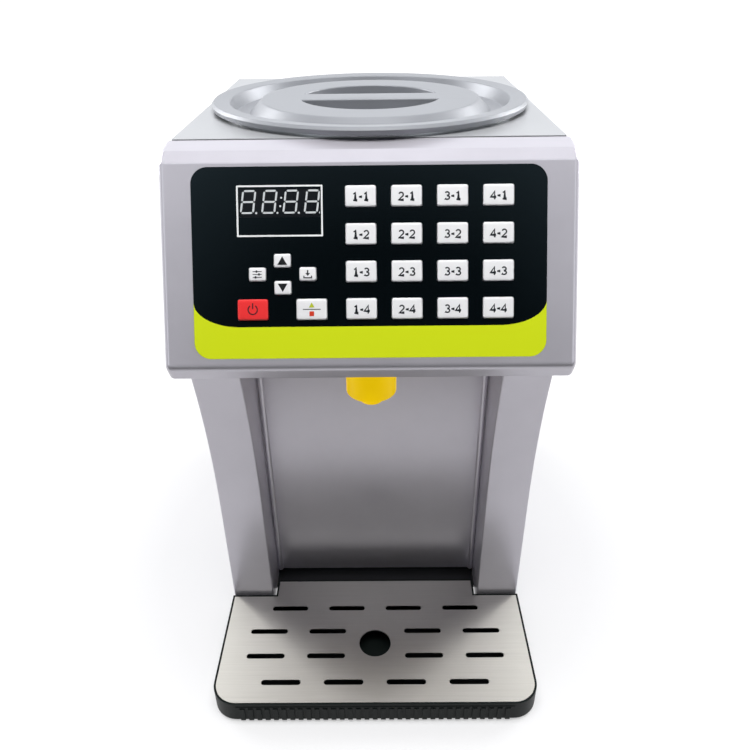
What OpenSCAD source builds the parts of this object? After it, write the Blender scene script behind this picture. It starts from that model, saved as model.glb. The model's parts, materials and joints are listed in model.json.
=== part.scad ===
// Countertop syrup dispenser: heated tank, gear pump, keypad head and drip tray.
// The counter is at Z = 0, the front faces -Y, and the origin is under the middle of the machine.

/* [Cabinet] */
// Width of the cabinet across its side panels
cabinet_w = 243; // [236:1:252]
// Height of the top plate above the counter
cabinet_h = 394.4; // [385:0.1:420]
// Distance from the origin back to the rear cover
cabinet_back = 187; // [183:1:200]
// Thickness of the moulded walls
wall = 3; // [2.5:0.1:3.5]
// Thickness of the folded top plate and the rear cover
sheet = 1.5; // [1:0.1:2]
// Thickness of the base plate
base_t = 2.5; // [2:0.1:4]
// Height of the rubber feet
foot_h = 6; // [5:0.5:9]
// Radius of a rubber foot
foot_r = 11; // [8:0.5:14]
// Clearance between fixed panels that meet edge to edge
fit_gap = 0.2; // [0.1:0.05:0.3]

/* [Column] */
// Distance from the origin forward to the pillars' straight front
column_front = 84.5; // [80:0.5:88]
// Width of each pillar's front face
pillar_w = 33.5; // [30:0.5:36]
// Height where the pillars start to curve forward
arc_start = 118; // [100:1:140]
// Radius of the pillars' forward curve
arc_r = 480; // [420:10:600]
// Distance from the origin forward to the recessed panel
recess_front = 50; // [48.5:0.5:54]
// Height of the slot under the recessed panel
recess_slot_z = 14; // [12:0.5:18]
// Radius of the bead along each side of the recessed panel
bead_r = 2.2; // [1.5:0.1:2.8]

/* [Head] */
// Distance by which the head stands out past each side of the cabinet
head_side = 4; // [1:0.1:6]
// Thickness of the head's moulded shell
shell = 2.5; // [2:0.1:2.8]
// Distance from the origin forward to the seam behind the head's top strip
seam_front = 59.5; // [59:0.1:62]
// Depth of the gently sloped top strip
strip_run = 17.5; // [14:0.5:22]
// Fall of the top strip
strip_drop = 4; // [3:0.1:5]
// Depth of the bevel between top strip and control face
bevel_run = 5.9; // [4:0.1:8]
// Fall of that bevel
bevel_drop = 4.6; // [3:0.1:6]
// Length of the control face measured along its slope
face_len = 122.8; // [120:0.1:128]
// Backward lean of the control face from vertical
face_tilt = 27.15; // [24:0.05:29]
// Height of the bevel under the control face
chin_drop = 10.5; // [7:0.1:12]
// Depth of the bevel under the control face
chin_run = 5.8; // [4:0.1:8]
// Radius of the head's corners seen from the front
head_corner_r = 6; // [4:0.5:8]

/* [Keypad] */
// Width of the printed overlay
overlay_w = 212; // [208:1:220]
// Height of the printed overlay along the face
overlay_h = 114; // [112:0.5:117]
// Thickness of the printed overlay
overlay_t = 0.6; // [0.4:0.1:0.8]
// Corner radius of the printed overlay
overlay_r = 10; // [6:0.5:14]
// Distance from the face's lower edge to the overlay
overlay_margin = 6.2; // [3:0.1:6.4]
// Width of a portion key
key_w = 18.2; // [16:0.1:20]
// Height of a portion key
key_h = 12.4; // [10:0.1:14]
// Spacing of the portion keys across the face
key_pitch_x = 27.3; // [26:0.1:28]
// Spacing of the portion keys up the face
key_pitch_y = 22.2; // [20.5:0.1:22.6]
// Distance from the face's centre line to the first key column
key_first_x = -4.9; // [-7:0.1:-3]
// Height of the lowest key row above the overlay's lower edge
key_first_y = 29.5; // [28:0.1:31]
// Number of key columns and rows
key_grid = 4; // [3:1:4]
// Height by which a key stands above the overlay
key_proud = 1.2; // [0.8:0.1:1.6]
// Travel of a key
key_travel = 0.5; // [0.3:0.1:0.6]
// Gap around a key in its opening
key_gap = 0.35; // [0.3:0.05:0.5]
// Width of an arrow, set or store key
small_key_w = 10; // [8:0.1:11]
// Height of an arrow, set or store key
small_key_h = 8; // [6:0.1:9]
// Width of the display module
display_w = 50.3; // [48:0.1:51]
// Height of the display module
display_h = 19; // [18:0.1:20]
// Distance from the centre line to the display's middle
display_x = -53.2; // [-56:0.1:-51]
// Height of the display's middle above the overlay's lower edge
display_y = 92.5; // [90:0.1:94]
// Distance from the face back to the circuit board
board_depth = 12; // [10.5:0.5:13]
// Thickness of the circuit board
board_t = 1.6; // [1.2:0.1:2]

/* [Tank and lid] */
// Clearance between the heater band and the recessed panel
tank_gap = 1.4; // [0.8:0.1:4]
// Outer radius of the tank's body
tank_r = 95; // [85:0.5:95]
// Outer radius of the tank's neck
neck_r = 105; // [104.4:0.1:105.6]
// Depth of the tank's neck
neck_h = 14; // [12:0.5:18]
// Radius of the tank's flange
flange_r = 110; // [108.5:0.1:110]
// Depth of the tank below the top plate
tank_depth = 264; // [240:1:270]
// Thickness of the tank's steel
tank_t = 1.2; // [0.8:0.1:1.2]
// Radius of the lid
lid_r = 116.3; // [113:0.1:118]
// Height of the lid's rim above the top plate
lid_rise = 7; // [6.5:0.1:9]
// Thickness of the lid's moulded wall
lid_t = 2.5; // [2:0.1:2.7]
// Radius of the rim's inner edge
lid_rim_in_r = 103; // [102:0.1:104]
// Radius of the groove's floor at its outer side
lid_groove_r = 100; // [99:0.1:100.8]
// Depth of the groove below the rim
lid_groove_h = 10; // [8:0.1:11]
// Radius of the raised centre at its base
lid_hat_base_r = 89.5; // [86:0.1:92]
// Radius of the raised centre at its top
lid_hat_r = 80.4; // [76:0.1:83]
// Radius of the two finger pockets
pocket_r = 51.5; // [46:0.5:56]
// Depth of the finger pockets
pocket_h = 14; // [11:0.5:16]
// Width of the grip bar between the pockets
grip_w = 25; // [20:0.5:28]
// Height of the heater band
heater_h = 50; // [30:1:70]
// Thickness of the heater band
heater_t = 1.3; // [0.8:0.1:1.5]

/* [Pump] */
// Distance from the centre line to the pump
pump_x = 40; // [38:0.5:42]
// Height of the pump's drive shaft
pump_z = 45; // [42:0.5:50]
// Teeth on each pump gear
gear_teeth = 18; // [17:1:20]
// Tooth size, as pitch diameter per tooth
gear_module = 1.25; // [1.1:0.01:1.3]
// Width of the pump gears
gear_w = 12; // [10:0.5:14]
// Radius of the gear shafts
shaft_r = 3; // [2.5:0.1:3.5]
// Radial clearance of turning parts
run_gap = 0.05; // [0.02:0.01:0.08]
// Radius of the pump motor
motor_r = 18.5; // [16:0.5:19.5]
// Length of the pump motor
motor_len = 62; // [50:1:75]
// Outer radius of the syrup hoses
hose_r = 4.5; // [4:0.1:5]
// Inner radius of the syrup hoses
hose_bore_r = 3; // [2.5:0.1:3.3]
// Bend radius of the syrup hoses
hose_bend = 18; // [16:0.5:20]

/* [Nozzle] */
// Distance from the origin forward to the nozzle
nozzle_front = 112; // [108:0.5:113]
// Radius of the nozzle's barrel
nozzle_r = 16.5; // [15:0.1:18]
// Length of the barrel below the head
nozzle_len = 21.4; // [18:0.1:28]
// Length of the nozzle's cone
nozzle_cone_h = 5.3; // [4:0.1:10]
// Radius of the nozzle's tip
nozzle_tip_r = 7.7; // [6:0.1:9]
// Length of the nozzle's tip
nozzle_tip_h = 2.6; // [1.5:0.1:5]
// Radius of the syrup outlet
nozzle_bore_r = 3.5; // [3:0.1:4]

/* [Drip tray] */
// Distance from the origin forward to the tray's front
tray_front = 189.5; // [185:0.5:200]
// Distance by which the tray stands out past each side of the cabinet
tray_side = 0.5; // [-3:0.1:3]
// Height of the tray's rim above the counter
tray_h = 19.5; // [17:0.1:22]
// Height of the tray's underside above the counter
tray_floor_z = 2.3; // [2:0.1:3]
// Thickness of the tray's walls
tray_t = 2.7; // [2.2:0.1:3]
// Radius of the tray's front corners
tray_corner_r = 19; // [14:0.5:24]
// Gap between the tray and the column
tray_gap = 1.5; // [1:0.1:2]
// Length of the tongue that reaches between the pillars
tongue_len = 16.5; // [12:0.5:18]
// Thickness of the steel grille
grille_t = 1.2; // [0.8:0.1:1.5]
// Length of a grille slot
slot_len = 30; // [24:0.5:32]
// Width of a grille slot
slot_w = 4.5; // [3.5:0.1:5.5]
// Radius of the finger hole in the grille
finger_hole_r = 12.5; // [10:0.5:14]
// Number of ribs on the tray's front
rib_count = 33; // [25:2:35]
// Spacing of those ribs
rib_pitch = 6.14; // [5.6:0.01:6.2]

/* [Mains side] */
// Distance from the cabinet's left side to the middle of the power inlet
inlet_inset = 49.5; // [42:0.5:56]
// Distance from the power inlet to the power switch
switch_step = 42; // [34:1:50]
// Height of the inlet and the switch
mains_z = 84; // [80:1:95]
// Width of the power supply
supply_w = 85; // [70:1:90]
// Length of the power supply
supply_l = 105; // [90:1:110]
// Height of the power supply
supply_h = 38; // [30:1:42]
// Number of vent slots across the rear cover
vent_columns = 3; // [2:1:4]
// Number of vent slots in a column
vent_rows = 12; // [6:1:14]

/* [Hidden] */
$fn = 96;
eps = 0.01;
body_gap = 0.3;

// Column
cab_x = cabinet_w / 2;
head_w = cabinet_w + 2 * head_side;
side_in = cab_x - wall;
recess_x = cab_x - pillar_w;
base_top = foot_h + base_t;
plate_under = cabinet_h - sheet;

// Head profile, worked out from the seam downwards
seam_y = -seam_front;
strip_y = seam_y - strip_run;
strip_z = cabinet_h - strip_drop;
face_top_y = strip_y - bevel_run;
face_top_z = strip_z - bevel_drop;
face_low_y = face_top_y - face_len * sin(face_tilt);
face_low_z = face_top_z - face_len * cos(face_tilt);
head_low_y = face_low_y + chin_run;
head_z = face_low_z - chin_drop;
head_outline = [
    [seam_y, cabinet_h], [strip_y, strip_z], [face_top_y, face_top_z],
    [face_low_y, face_low_z], [head_low_y, head_z], [seam_y, head_z]
];
floor_t = 2;
floor_top = head_z + floor_t;

// Tank and lid
tank_y = tank_r + heater_t + tank_gap + wall - recess_front;
tank_low_z = cabinet_h - tank_depth;
neck_low_z = cabinet_h - neck_h;
collar_low_z = neck_low_z - abs(neck_r - tank_r);
heater_low = 12;
sensor_back = 45;
sensor_r = 3;
sensor_len = 12;
sensor_flange_r = 7;
sensor_flange_t = 2;
hole_r = neck_r + 0.5;
lid_top = cabinet_h + lid_rise;
lid_rim_fall = 1;
lid_skirt_h = 5;
lid_edge_r = 1.5;
lid_collar_r = flange_r - 1;
lid_hat_top = lid_top - 1;

// Display, board and keys
stem_r = 2;
key_r = 1.3;
key_flange_t = 1;
key_flange_gap = 0.3;
key_flange_lip = 1.2;
tact_w = 6;
tact_h = 3.4;
tact_stem_r = 1.7;
key_seat_gap = key_travel + 0.15;
board_w = overlay_w - 12;
board_low = 18;
board_high = 109;
board_screw_x = board_w / 2 - 6;
board_screw_low = board_low + 5;
board_screw_high = board_high - 4;
post_r = 3.5;
display_lip = 1.2;
arrow_x = display_x + 1.2;
arrow_mid_y = 50.45;
arrow_dx = 15.1;
arrow_dy = 8.05;
mode_y = key_first_y - 0.1;
power_x = arrow_x - 18.2;
run_x = arrow_x + 17.2;

// Each control key: name, middle across, middle up the face, width, height
control_keys = [
    ["key_up", arrow_x, arrow_mid_y + arrow_dy, small_key_w, small_key_h],
    ["key_down", arrow_x, arrow_mid_y - arrow_dy, small_key_w, small_key_h],
    ["key_set", arrow_x - arrow_dx, arrow_mid_y, small_key_w, small_key_h],
    ["key_store", arrow_x + arrow_dx, arrow_mid_y, small_key_w, small_key_h],
    ["key_power", power_x, mode_y, key_w, key_h],
    ["key_run_stop", run_x, mode_y, key_w, key_h]
];
// Portion keys are named by column and then by row, counted down the face
portion_keys = [
    for (col = [1 : key_grid]) for (row = [1 : key_grid]) [
        str("key_", col, "_", row),
        key_first_x + (col - 1) * key_pitch_x,
        key_first_y + (key_grid - row) * key_pitch_y,
        key_w, key_h
    ]
];
keys = concat(portion_keys, control_keys);

// Screws
screw_r = 1.45;
screw_hole_r = 1.5;
screw_head_r = 2.8;
screw_head_h = 1.8;
screw_len = 8;
boss_w = 10;
rear_screw_x = side_in - boss_w / 2;
rear_screw_margin = 18;
rear_screw_z = [
    base_top + rear_screw_margin, (base_top + plate_under) / 2, plate_under - rear_screw_margin
];

// Pump and hoses
gear_pitch_r = gear_module * gear_teeth / 2;
gear_tip_r = gear_pitch_r + 0.95 * gear_module;
gear_root_r = gear_pitch_r - 1.25 * gear_module;
pressure_angle = 20;
tooth_slack = 0.4;
gear_y = tank_y;
idler_z = pump_z + 2 * gear_pitch_r;
port_z = pump_z + gear_pitch_r;
pump_wall = 7;
pump_screw_inset = 3.4;
pump_half_w = gear_tip_r + pump_wall;
pump_low = pump_z - gear_tip_r - pump_wall;
pump_high = idler_z + gear_tip_r + pump_wall;
pump_front = gear_y - gear_w / 2 - pump_wall;
cover_front = gear_y + gear_w / 2;
cover_t = 6;
bracket_t = 2.5;
bracket_y = cover_front + cover_t;
motor_y = bracket_y + bracket_t;
shaft_blind = 4;
coupling_len = 10;
barb_r = hose_bore_r - 0.05;
barb_bore_r = hose_bore_r - 1;
barb_len = 12;
outlet_x = -30;
fitting_r = 6;
fitting_flange_r = 11;
fitting_flange_t = 2;
fitting_nut_h = 5;
riser_x = side_in - 14.5;
riser_y = -(column_front + recess_front) / 2;
holder_r = 14;
holder_h = 15;
neck_fit_r = 9;
hose_z = floor_top + 8;
// How far the rising hose has bent sideways at the top of the head's floor
bend_rise = max(0, hose_bend - (hose_z - floor_top));
riser_lean = hose_bend - sqrt(hose_bend * hose_bend - bend_rise * bend_rise);

// Drip tray
tray_x = cab_x + tray_side;
tray_shoulder_y = -column_front - tray_gap;
tongue_x = recess_x - 3;
rib_proud = 0.9;
rib_w = 3.6;
rib_root = 0.2;
rib_top = tray_h - 4.5;
rib_edge_h = 0.8;
grille_gap = 0.3;
ledge_w = 4;
peg_r = 2.5;
peg_z = (tray_h + foot_h) / 2 - 0.5;
peg_x = recess_x + pillar_w / 2;
slot_mid_y = -(tray_front + column_front) / 2 + 1.6;
slot_row_pitch = 23.2;
slot_near_x = [23.7, 71.3];
slot_far_x = [38.5, 86];

// Mains side
inlet_x = -cab_x + inlet_inset;
switch_x = inlet_x + switch_step;
inlet_w = 27.5;
inlet_h = 20;
inlet_depth = 26;
inlet_flange = 3;
socket_w = 24;
socket_h = 16.4;
socket_depth = 16;
pin_len = 12;
pin_x = 7;
pin_rise = 2;
pin_t = 2;
pin_w = 4;
switch_w = 13;
switch_h = 19.4;
switch_depth = 18;
switch_flange = 1.2;
switch_flange_t = 1.5;
rocker_w = 9.6;
rocker_h = 15.6;
rocker_tilt = 8;
rocker_pin_r = 1.2;
rocker_pin_y = cabinet_back - 4;
rocker_proud = 1.4;
rocker_back = 2;
rocker_taper = 1.5;
rocker_edge = 1.4;
rocker_waist = 2.2;
rocker_pin_reach = 0.9;
vent_w = 52;
vent_h = 3;
vent_pitch = 9;
vent_bridge = 12;
vent_drop = 60;
vent_top = cabinet_h - vent_drop;
supply_side_gap = 8;
supply_rear_gap = 20;
supply_lug = 8;

// ---- Shared shapes ----

// A flat outline drawn as (Y, Z) and thickened across the machine from x0
module across(x0, w) {
    translate([x0, 0, 0]) rotate([90, 0, 90]) linear_extrude(w) children();
}

// A flat outline drawn as (X, Z) and thickened backwards from y0
module backwards(y0, d) {
    translate([0, y0 + d, 0]) rotate([90, 0, 0]) linear_extrude(d) children();
}

// Rectangle about its middle with round corners
module rounded_rect(w, h, r) {
    square([w, h - 2 * r], center = true);
    square([w - 2 * r, h], center = true);
    for (sx = [-1, 1], sy = [-1, 1])
        translate([sx * (w / 2 - r), sy * (h / 2 - r)]) circle(r);
}

// Cylinder along +Y
module rod_y(r, len) { rotate([-90, 0, 0]) cylinder(r = r, h = len); }

// Cylinder along +X
module rod_x(r, len) { rotate([0, 90, 0]) cylinder(r = r, h = len); }

// Places its children on the control face: X across, Y up the face, Z out of it.
// The zero is the middle of the overlay's lower edge.
module on_face() {
    translate([0, face_low_y + overlay_margin * sin(face_tilt),
               face_low_z + overlay_margin * cos(face_tilt)])
        rotate([90 - face_tilt, 0, 0]) children();
}

// A block on the face from depth z0 to z1, about its middle
module face_block(x, y, w, h, r, z0, z1) {
    translate([x, y, z0]) linear_extrude(z1 - z0) rounded_rect(w, h, r);
}

// Side view of the column behind the pillars' front, set back by inset
module column_area(inset) {
    reach = 60;
    difference() {
        translate([-column_front - reach, foot_h])
            square([reach + column_front, head_z - foot_h]);
        translate([-column_front - arc_r, arc_start]) circle(r = arc_r + inset, $fn = 720);
        translate([-column_front - reach - 1, foot_h - 1])
            square([reach + 1 + inset, arc_start - foot_h + 1]);
    }
}

// Convex outline moved inwards by d, with every corner kept
function left_normal(a, b) = [-(b - a)[1], (b - a)[0]] / norm(b - a);
function corner(a, b, c, d) = let (n = left_normal(a, b), m = left_normal(b, c))
    b + d * (n + m) / (1 + n * m);
function inset_outline(p, d) = [
    for (i = [0 : len(p) - 1])
        corner(p[(i + len(p) - 1) % len(p)], p[i], p[(i + 1) % len(p)], d)
];

// Hose along square corners, each rounded with the bend radius
function unit(v) = v / norm(v);
module hose_core(path, r) {
    n = len(path);
    for (i = [0 : n - 2]) {
        dir = unit(path[i + 1] - path[i]);
        start = path[i] + (i == 0 ? 0 : hose_bend) * dir;
        end = path[i + 1] - (i == n - 2 ? 0 : hose_bend) * dir;
        side = abs(dir[2]) > 0.5 ? [1, 0, 0] : [0, 0, 1];
        third = cross(dir, side);
        multmatrix([for (k = [0 : 2]) [side[k], third[k], dir[k], start[k]]])
            cylinder(r = r, h = norm(end - start), $fn = 48);
    }
    for (i = [1 : n - 2]) {
        din = unit(path[i] - path[i - 1]);
        dout = unit(path[i + 1] - path[i]);
        middle = path[i] + hose_bend * (dout - din);
        axis = cross(din, dout);
        multmatrix([for (k = [0 : 2]) [-dout[k], din[k], axis[k], middle[k]]])
            rotate_extrude(angle = 90) translate([hose_bend, 0]) circle(r, $fn = 48);
    }
}

module hose(path) {
    difference() {
        hose_core(path, hose_r);
        hose_core(path, hose_bore_r);
    }
}

// One pan head screw along +Z with its head's seat at z = 0
module screw() {
    translate([0, 0, -screw_head_h]) cylinder(r = screw_head_r, h = screw_head_h);
    translate([0, 0, -eps]) cylinder(r = screw_r, h = screw_len);
}

// ---- Cabinet ----

module side_panel(side) {
    x0 = side > 0 ? side_in : -cab_x;
    head_reach = 20;
    seam_reach = 30;
    upper = [
        [-column_front + wall, head_z - 1], [-column_front + wall, head_z + head_reach],
        [seam_y + fit_gap, plate_under - seam_reach], [seam_y + fit_gap, plate_under],
        [0, plate_under], [0, head_z - 1]
    ];
    difference() {
        union() {
            across(x0, wall) {
                column_area(wall + fit_gap);
                polygon(upper);
                translate([-eps, foot_h]) square([cabinet_back + eps, plate_under - foot_h]);
            }
            for (z = rear_screw_z)
                translate([side * rear_screw_x - boss_w / 2, cabinet_back - sheet - boss_w, z - boss_w / 2])
                    cube(boss_w);
        }
        for (z = rear_screw_z)
            translate([side * rear_screw_x, cabinet_back - sheet - boss_w - 1, z])
                rod_y(screw_hole_r, boss_w + 2);
    }
}

module left_side_panel() { color("#a9a8ae") side_panel(-1); }

module right_side_panel() { color("#a9a8ae") side_panel(1); }

module rear_cover() {
    panel_x = side_in - fit_gap;
    vent_step = vent_w + vent_bridge;
    color("#9c9ca2") difference() {
        translate([-panel_x, cabinet_back - sheet, base_top + fit_gap])
            cube([2 * panel_x, sheet, plate_under - base_top - 2 * fit_gap]);
        for (side = [-1, 1], z = rear_screw_z)
            translate([side * rear_screw_x, cabinet_back - sheet - 1, z])
                rod_y(screw_hole_r, sheet + 2);
        backwards(cabinet_back - sheet - 1, sheet + 2) {
            translate([inlet_x, mains_z]) square([inlet_w + fit_gap, inlet_h + fit_gap], center = true);
            translate([switch_x, mains_z]) square([switch_w + fit_gap, switch_h + fit_gap], center = true);
            for (col = [0 : vent_columns - 1], row = [0 : vent_rows - 1])
                translate([(col - (vent_columns - 1) / 2) * vent_step, vent_top - row * vent_pitch])
                    rounded_rect(vent_w, vent_h, vent_h / 2 - eps);
        }
    }
}

module base_plate() {
    plate_x = side_in - fit_gap;
    kick_h = 10;
    color("#1d1e20") difference() {
        union() {
            translate([-plate_x, -column_front + wall + fit_gap, foot_h])
                cube([2 * plate_x, column_front - wall + cabinet_back - 2 * fit_gap, base_t]);
            translate([-recess_x + fit_gap, -recess_front + wall, base_top - eps])
                cube([2 * (recess_x - fit_gap), base_t / 2, recess_slot_z - base_top + kick_h]);
        }
        translate([-recess_x, -column_front, foot_h - 1])
            cube([2 * recess_x, tray_gap + tongue_len, base_t + 2]);
        for (side = [-1, 1])
            translate([side * (recess_x + shell / 2) - shell / 2 - fit_gap, -column_front, foot_h - 1])
                cube([shell + 2 * fit_gap, column_front - recess_front + fit_gap, base_t + 2]);
    }
}

module top_plate() {
    lip_h = 10;
    lip_x = side_in - fit_gap;
    color("#c3c4c8") {
        difference() {
            translate([-cab_x, seam_y + fit_gap, plate_under])
                cube([2 * cab_x, cabinet_back - seam_y - fit_gap, sheet]);
            translate([0, tank_y, plate_under - 1]) cylinder(r = hole_r, h = sheet + 2);
        }
        for (side = [-1, 1])
            translate([side * (lip_x - sheet / 2) - sheet / 2, 0, plate_under - lip_h])
                cube([sheet, cabinet_back - sheet - fit_gap, lip_h + eps]);
    }
}

module pillar(side) {
    x0 = side > 0 ? recess_x : -cab_x;
    inner_x = side > 0 ? recess_x : -recess_x - shell;
    color("#a4a4a9") {
        difference() {
            across(x0, pillar_w) difference() {
                column_area(0);
                column_area(wall);
            }
            translate([side * peg_x, -column_front - 1, peg_z]) rod_y(peg_r + body_gap, wall + 2);
        }
        across(inner_x, shell) difference() {
            column_area(0);
            translate([-recess_front, 0]) square([recess_front + 1, head_z + 1]);
        }
    }
}

module left_pillar() { pillar(-1); }

module right_pillar() { pillar(1); }

module recess_panel() {
    panel_x = recess_x + shell;
    color("#8f8f95") difference() {
        union() {
            translate([-panel_x, -recess_front, recess_slot_z])
                cube([2 * panel_x, wall, head_z - recess_slot_z]);
            for (side = [-1, 1])
                translate([side * (recess_x - fit_gap - bead_r), -recess_front, recess_slot_z])
                    cylinder(r = bead_r, h = head_z - recess_slot_z);
        }
        translate([-panel_x - 1, -recess_front + wall, 0]) cube([2 * panel_x + 2, bead_r, head_z + 1]);
    }
}

// ---- Head ----

// Side view of the inside of the head, open at the back and the bottom
module head_inside() {
    inner = inset_outline(head_outline, shell);
    polygon([inner[0] + [shell + 1, 0], inner[1], inner[2], inner[3], inner[4] + [0, -shell - 1],
             inner[5] + [shell + 1, -shell - 1]]);
}

module fascia() {
    low = head_z;
    high = cabinet_h;
    color("#b5b4ba") difference() {
        union() {
            difference() {
                intersection() {
                    across(-head_w / 2, head_w) polygon(head_outline);
                    backwards(face_low_y - 1, seam_y - face_low_y + 2)
                        translate([0, (low + high) / 2]) rounded_rect(head_w, high - low, head_corner_r);
                }
                across(-cab_x, cabinet_w) head_inside();
            }
            on_face() for (side = [-1, 1], y = [board_screw_low, board_screw_high])
                translate([side * board_screw_x, y, -board_depth])
                    cylinder(r = post_r, h = board_depth - shell + eps);
        }
        on_face() {
            translate([0, overlay_h / 2, -overlay_t])
                linear_extrude(overlay_t + 1)
                    rounded_rect(overlay_w + fit_gap, overlay_h + fit_gap, overlay_r);
            for (k = keys)
                face_block(k[1], k[2], k[3] + 2 * key_gap, k[4] + 2 * key_gap, key_r, -shell - 1, 1);
            face_block(display_x, display_y, display_w - 2 * display_lip + fit_gap,
                       display_h - 2 * display_lip + fit_gap, 1, -shell - 1, 1);
            for (side = [-1, 1], y = [board_screw_low, board_screw_high])
                translate([side * board_screw_x, y, -board_depth - 1])
                    cylinder(r = screw_hole_r, h = board_depth - shell);
        }
    }
}

module head_floor() {
    floor_x = side_in - fit_gap;
    front_y = head_low_y + shell + 1;
    color("#7d7d83") difference() {
        translate([-floor_x, front_y, head_z])
            cube([2 * floor_x, -recess_front + wall - front_y, floor_t]);
        translate([0, -nozzle_front, head_z - 1]) cylinder(r = neck_fit_r + fit_gap, h = floor_t + 2);
        for (dx = [0, riser_lean / 2, riser_lean])
            translate([riser_x - dx, riser_y, head_z - 1]) cylinder(r = hose_r + 1, h = floor_t + 2);
    }
}

module control_overlay() {
    color("#15191b") on_face() difference() {
        translate([0, overlay_h / 2, -overlay_t]) linear_extrude(overlay_t)
            rounded_rect(overlay_w, overlay_h, overlay_r);
        for (k = keys)
            face_block(k[1], k[2], k[3] + 2 * key_gap, k[4] + 2 * key_gap, key_r, -shell, 1);
        face_block(display_x, display_y, display_w - 2 * display_lip + fit_gap,
                   display_h - 2 * display_lip + fit_gap, 1, -shell, 1);
    }
}

module display_module() {
    color("#22252a") on_face() {
        face_block(display_x, display_y, display_w, display_h, 1, -board_depth, -shell - 0.1);
        face_block(display_x, display_y, display_w - 2 * display_lip, display_h - 2 * display_lip, 1,
                   -shell - 0.1 - eps, -0.1);
    }
}

module control_board() {
    color("#1f6b46") on_face() difference() {
        translate([-board_w / 2, board_low, -board_depth - board_t])
            cube([board_w, board_high - board_low, board_t]);
        for (side = [-1, 1], y = [board_screw_low, board_screw_high])
            translate([side * board_screw_x, y, -board_depth - board_t - 1])
                cylinder(r = screw_hole_r, h = board_t + 2);
    }
}

module tact_switches() {
    stem_top = -shell - key_flange_gap - key_flange_t - 2 - key_seat_gap;
    color("#303236") on_face() for (k = keys) {
        translate([k[1] - tact_w / 2, k[2] - tact_w / 2, -board_depth]) cube([tact_w, tact_w, tact_h]);
        translate([k[1], k[2], -board_depth + tact_h - eps])
            cylinder(r = tact_stem_r, h = stem_top + board_depth - tact_h, $fn = 32);
    }
}

// One key: a cap through the face, a flange behind it and a stem above its switch
module key(k) {
    flange_z = -shell - key_flange_gap;
    on_face() {
        face_block(k[1], k[2], k[3], k[4], key_r, flange_z - eps, key_proud);
        face_block(k[1], k[2], k[3] + 2 * key_flange_lip, k[4] + 2 * key_flange_lip, key_r,
                   flange_z - key_flange_t, flange_z);
        translate([k[1], k[2], flange_z - key_flange_t - 2])
            cylinder(r = stem_r, h = 2 + eps, $fn = 32);
    }
}

// ---- Syrup path ----

module nozzle() {
    cone_z = head_z - nozzle_len;
    tip_z = cone_z - nozzle_cone_h;
    neck_h_in = 6;
    color("#f2c716") translate([0, -nozzle_front, 0]) difference() {
        union() {
            translate([0, 0, cone_z]) cylinder(r = nozzle_r, h = nozzle_len - fit_gap);
            translate([0, 0, tip_z]) cylinder(r1 = nozzle_tip_r, r2 = nozzle_r, h = nozzle_cone_h);
            translate([0, 0, tip_z - nozzle_tip_h]) cylinder(r = nozzle_tip_r, h = nozzle_tip_h + eps);
            translate([0, 0, head_z - fit_gap - eps])
                cylinder(r = neck_fit_r, h = floor_t + neck_h_in);
        }
        translate([0, 0, tip_z - nozzle_tip_h - 1])
            cylinder(r = nozzle_bore_r, h = nozzle_len + nozzle_cone_h + nozzle_tip_h + neck_h_in + 5);
    }
}

module nozzle_holder() {
    neck_top = floor_top + 6;
    color("#e4e4e2") difference() {
        union() {
            translate([0, -nozzle_front, floor_top]) cylinder(r = holder_r, h = holder_h);
            translate([0, -nozzle_front, hose_z]) rod_y(barb_r, holder_r + barb_len);
            translate([0, -nozzle_front, hose_z]) rod_y(barb_r + 2, holder_r + 2);
        }
        translate([0, -nozzle_front, floor_top - 1])
            cylinder(r = neck_fit_r + run_gap, h = neck_top - floor_top + 1);
        translate([0, -nozzle_front, neck_top - eps]) cylinder(r = nozzle_bore_r, h = 4);
        translate([0, -nozzle_front, hose_z]) rod_y(barb_bore_r, holder_r + barb_len + 1);
    }
}

// The tank's body: an open drum with a hole for its outlet
module tank() {
    color("#b9bcc0") translate([0, tank_y, 0]) difference() {
        translate([0, 0, tank_low_z]) cylinder(r = tank_r, h = collar_low_z - tank_low_z);
        translate([0, 0, tank_low_z + tank_t])
            cylinder(r = tank_r - tank_t, h = collar_low_z - tank_low_z);
        translate([outlet_x, 0, tank_low_z - 1]) cylinder(r = fitting_r + 0.05, h = tank_t + 2);
    }
}

// The collar that widens from the drum to the flange, as (radius, Z) points
module tank_collar() {
    flange_top = cabinet_h + tank_t;
    color("#b9bcc0") translate([0, tank_y, 0]) rotate_extrude() polygon([
        [tank_r, collar_low_z], [neck_r, neck_low_z], [neck_r, cabinet_h], [flange_r, cabinet_h],
        [flange_r, flange_top], [neck_r - tank_t, flange_top], [neck_r - tank_t, neck_low_z + tank_t / 2],
        [tank_r - tank_t, collar_low_z + tank_t / 2], [tank_r - tank_t, collar_low_z]
    ]);
}

module tank_outlet() {
    x = outlet_x;
    flange_z = tank_low_z + tank_t;
    nut_z = tank_low_z - fitting_nut_h;
    color("#c9cbce") translate([x, tank_y, 0]) difference() {
        union() {
            translate([0, 0, flange_z]) cylinder(r = fitting_flange_r, h = fitting_flange_t);
            translate([0, 0, nut_z]) cylinder(r = fitting_r, h = fitting_nut_h + tank_t + eps);
            translate([0, 0, nut_z]) cylinder(r = fitting_flange_r, h = fitting_nut_h, $fn = 6);
            translate([0, 0, nut_z - barb_len]) cylinder(r = barb_r, h = barb_len + eps);
        }
        translate([0, 0, nut_z - barb_len - 1])
            cylinder(r = barb_bore_r, h = barb_len + fitting_nut_h + tank_t + fitting_flange_t + 2);
    }
}

module heater_band() {
    color("#b4472e") translate([0, tank_y, tank_low_z + heater_low]) difference() {
        cylinder(r = tank_r + heater_t, h = heater_h);
        translate([0, 0, -1]) cylinder(r = tank_r + 0.02, h = heater_h + 2);
    }
}

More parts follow.
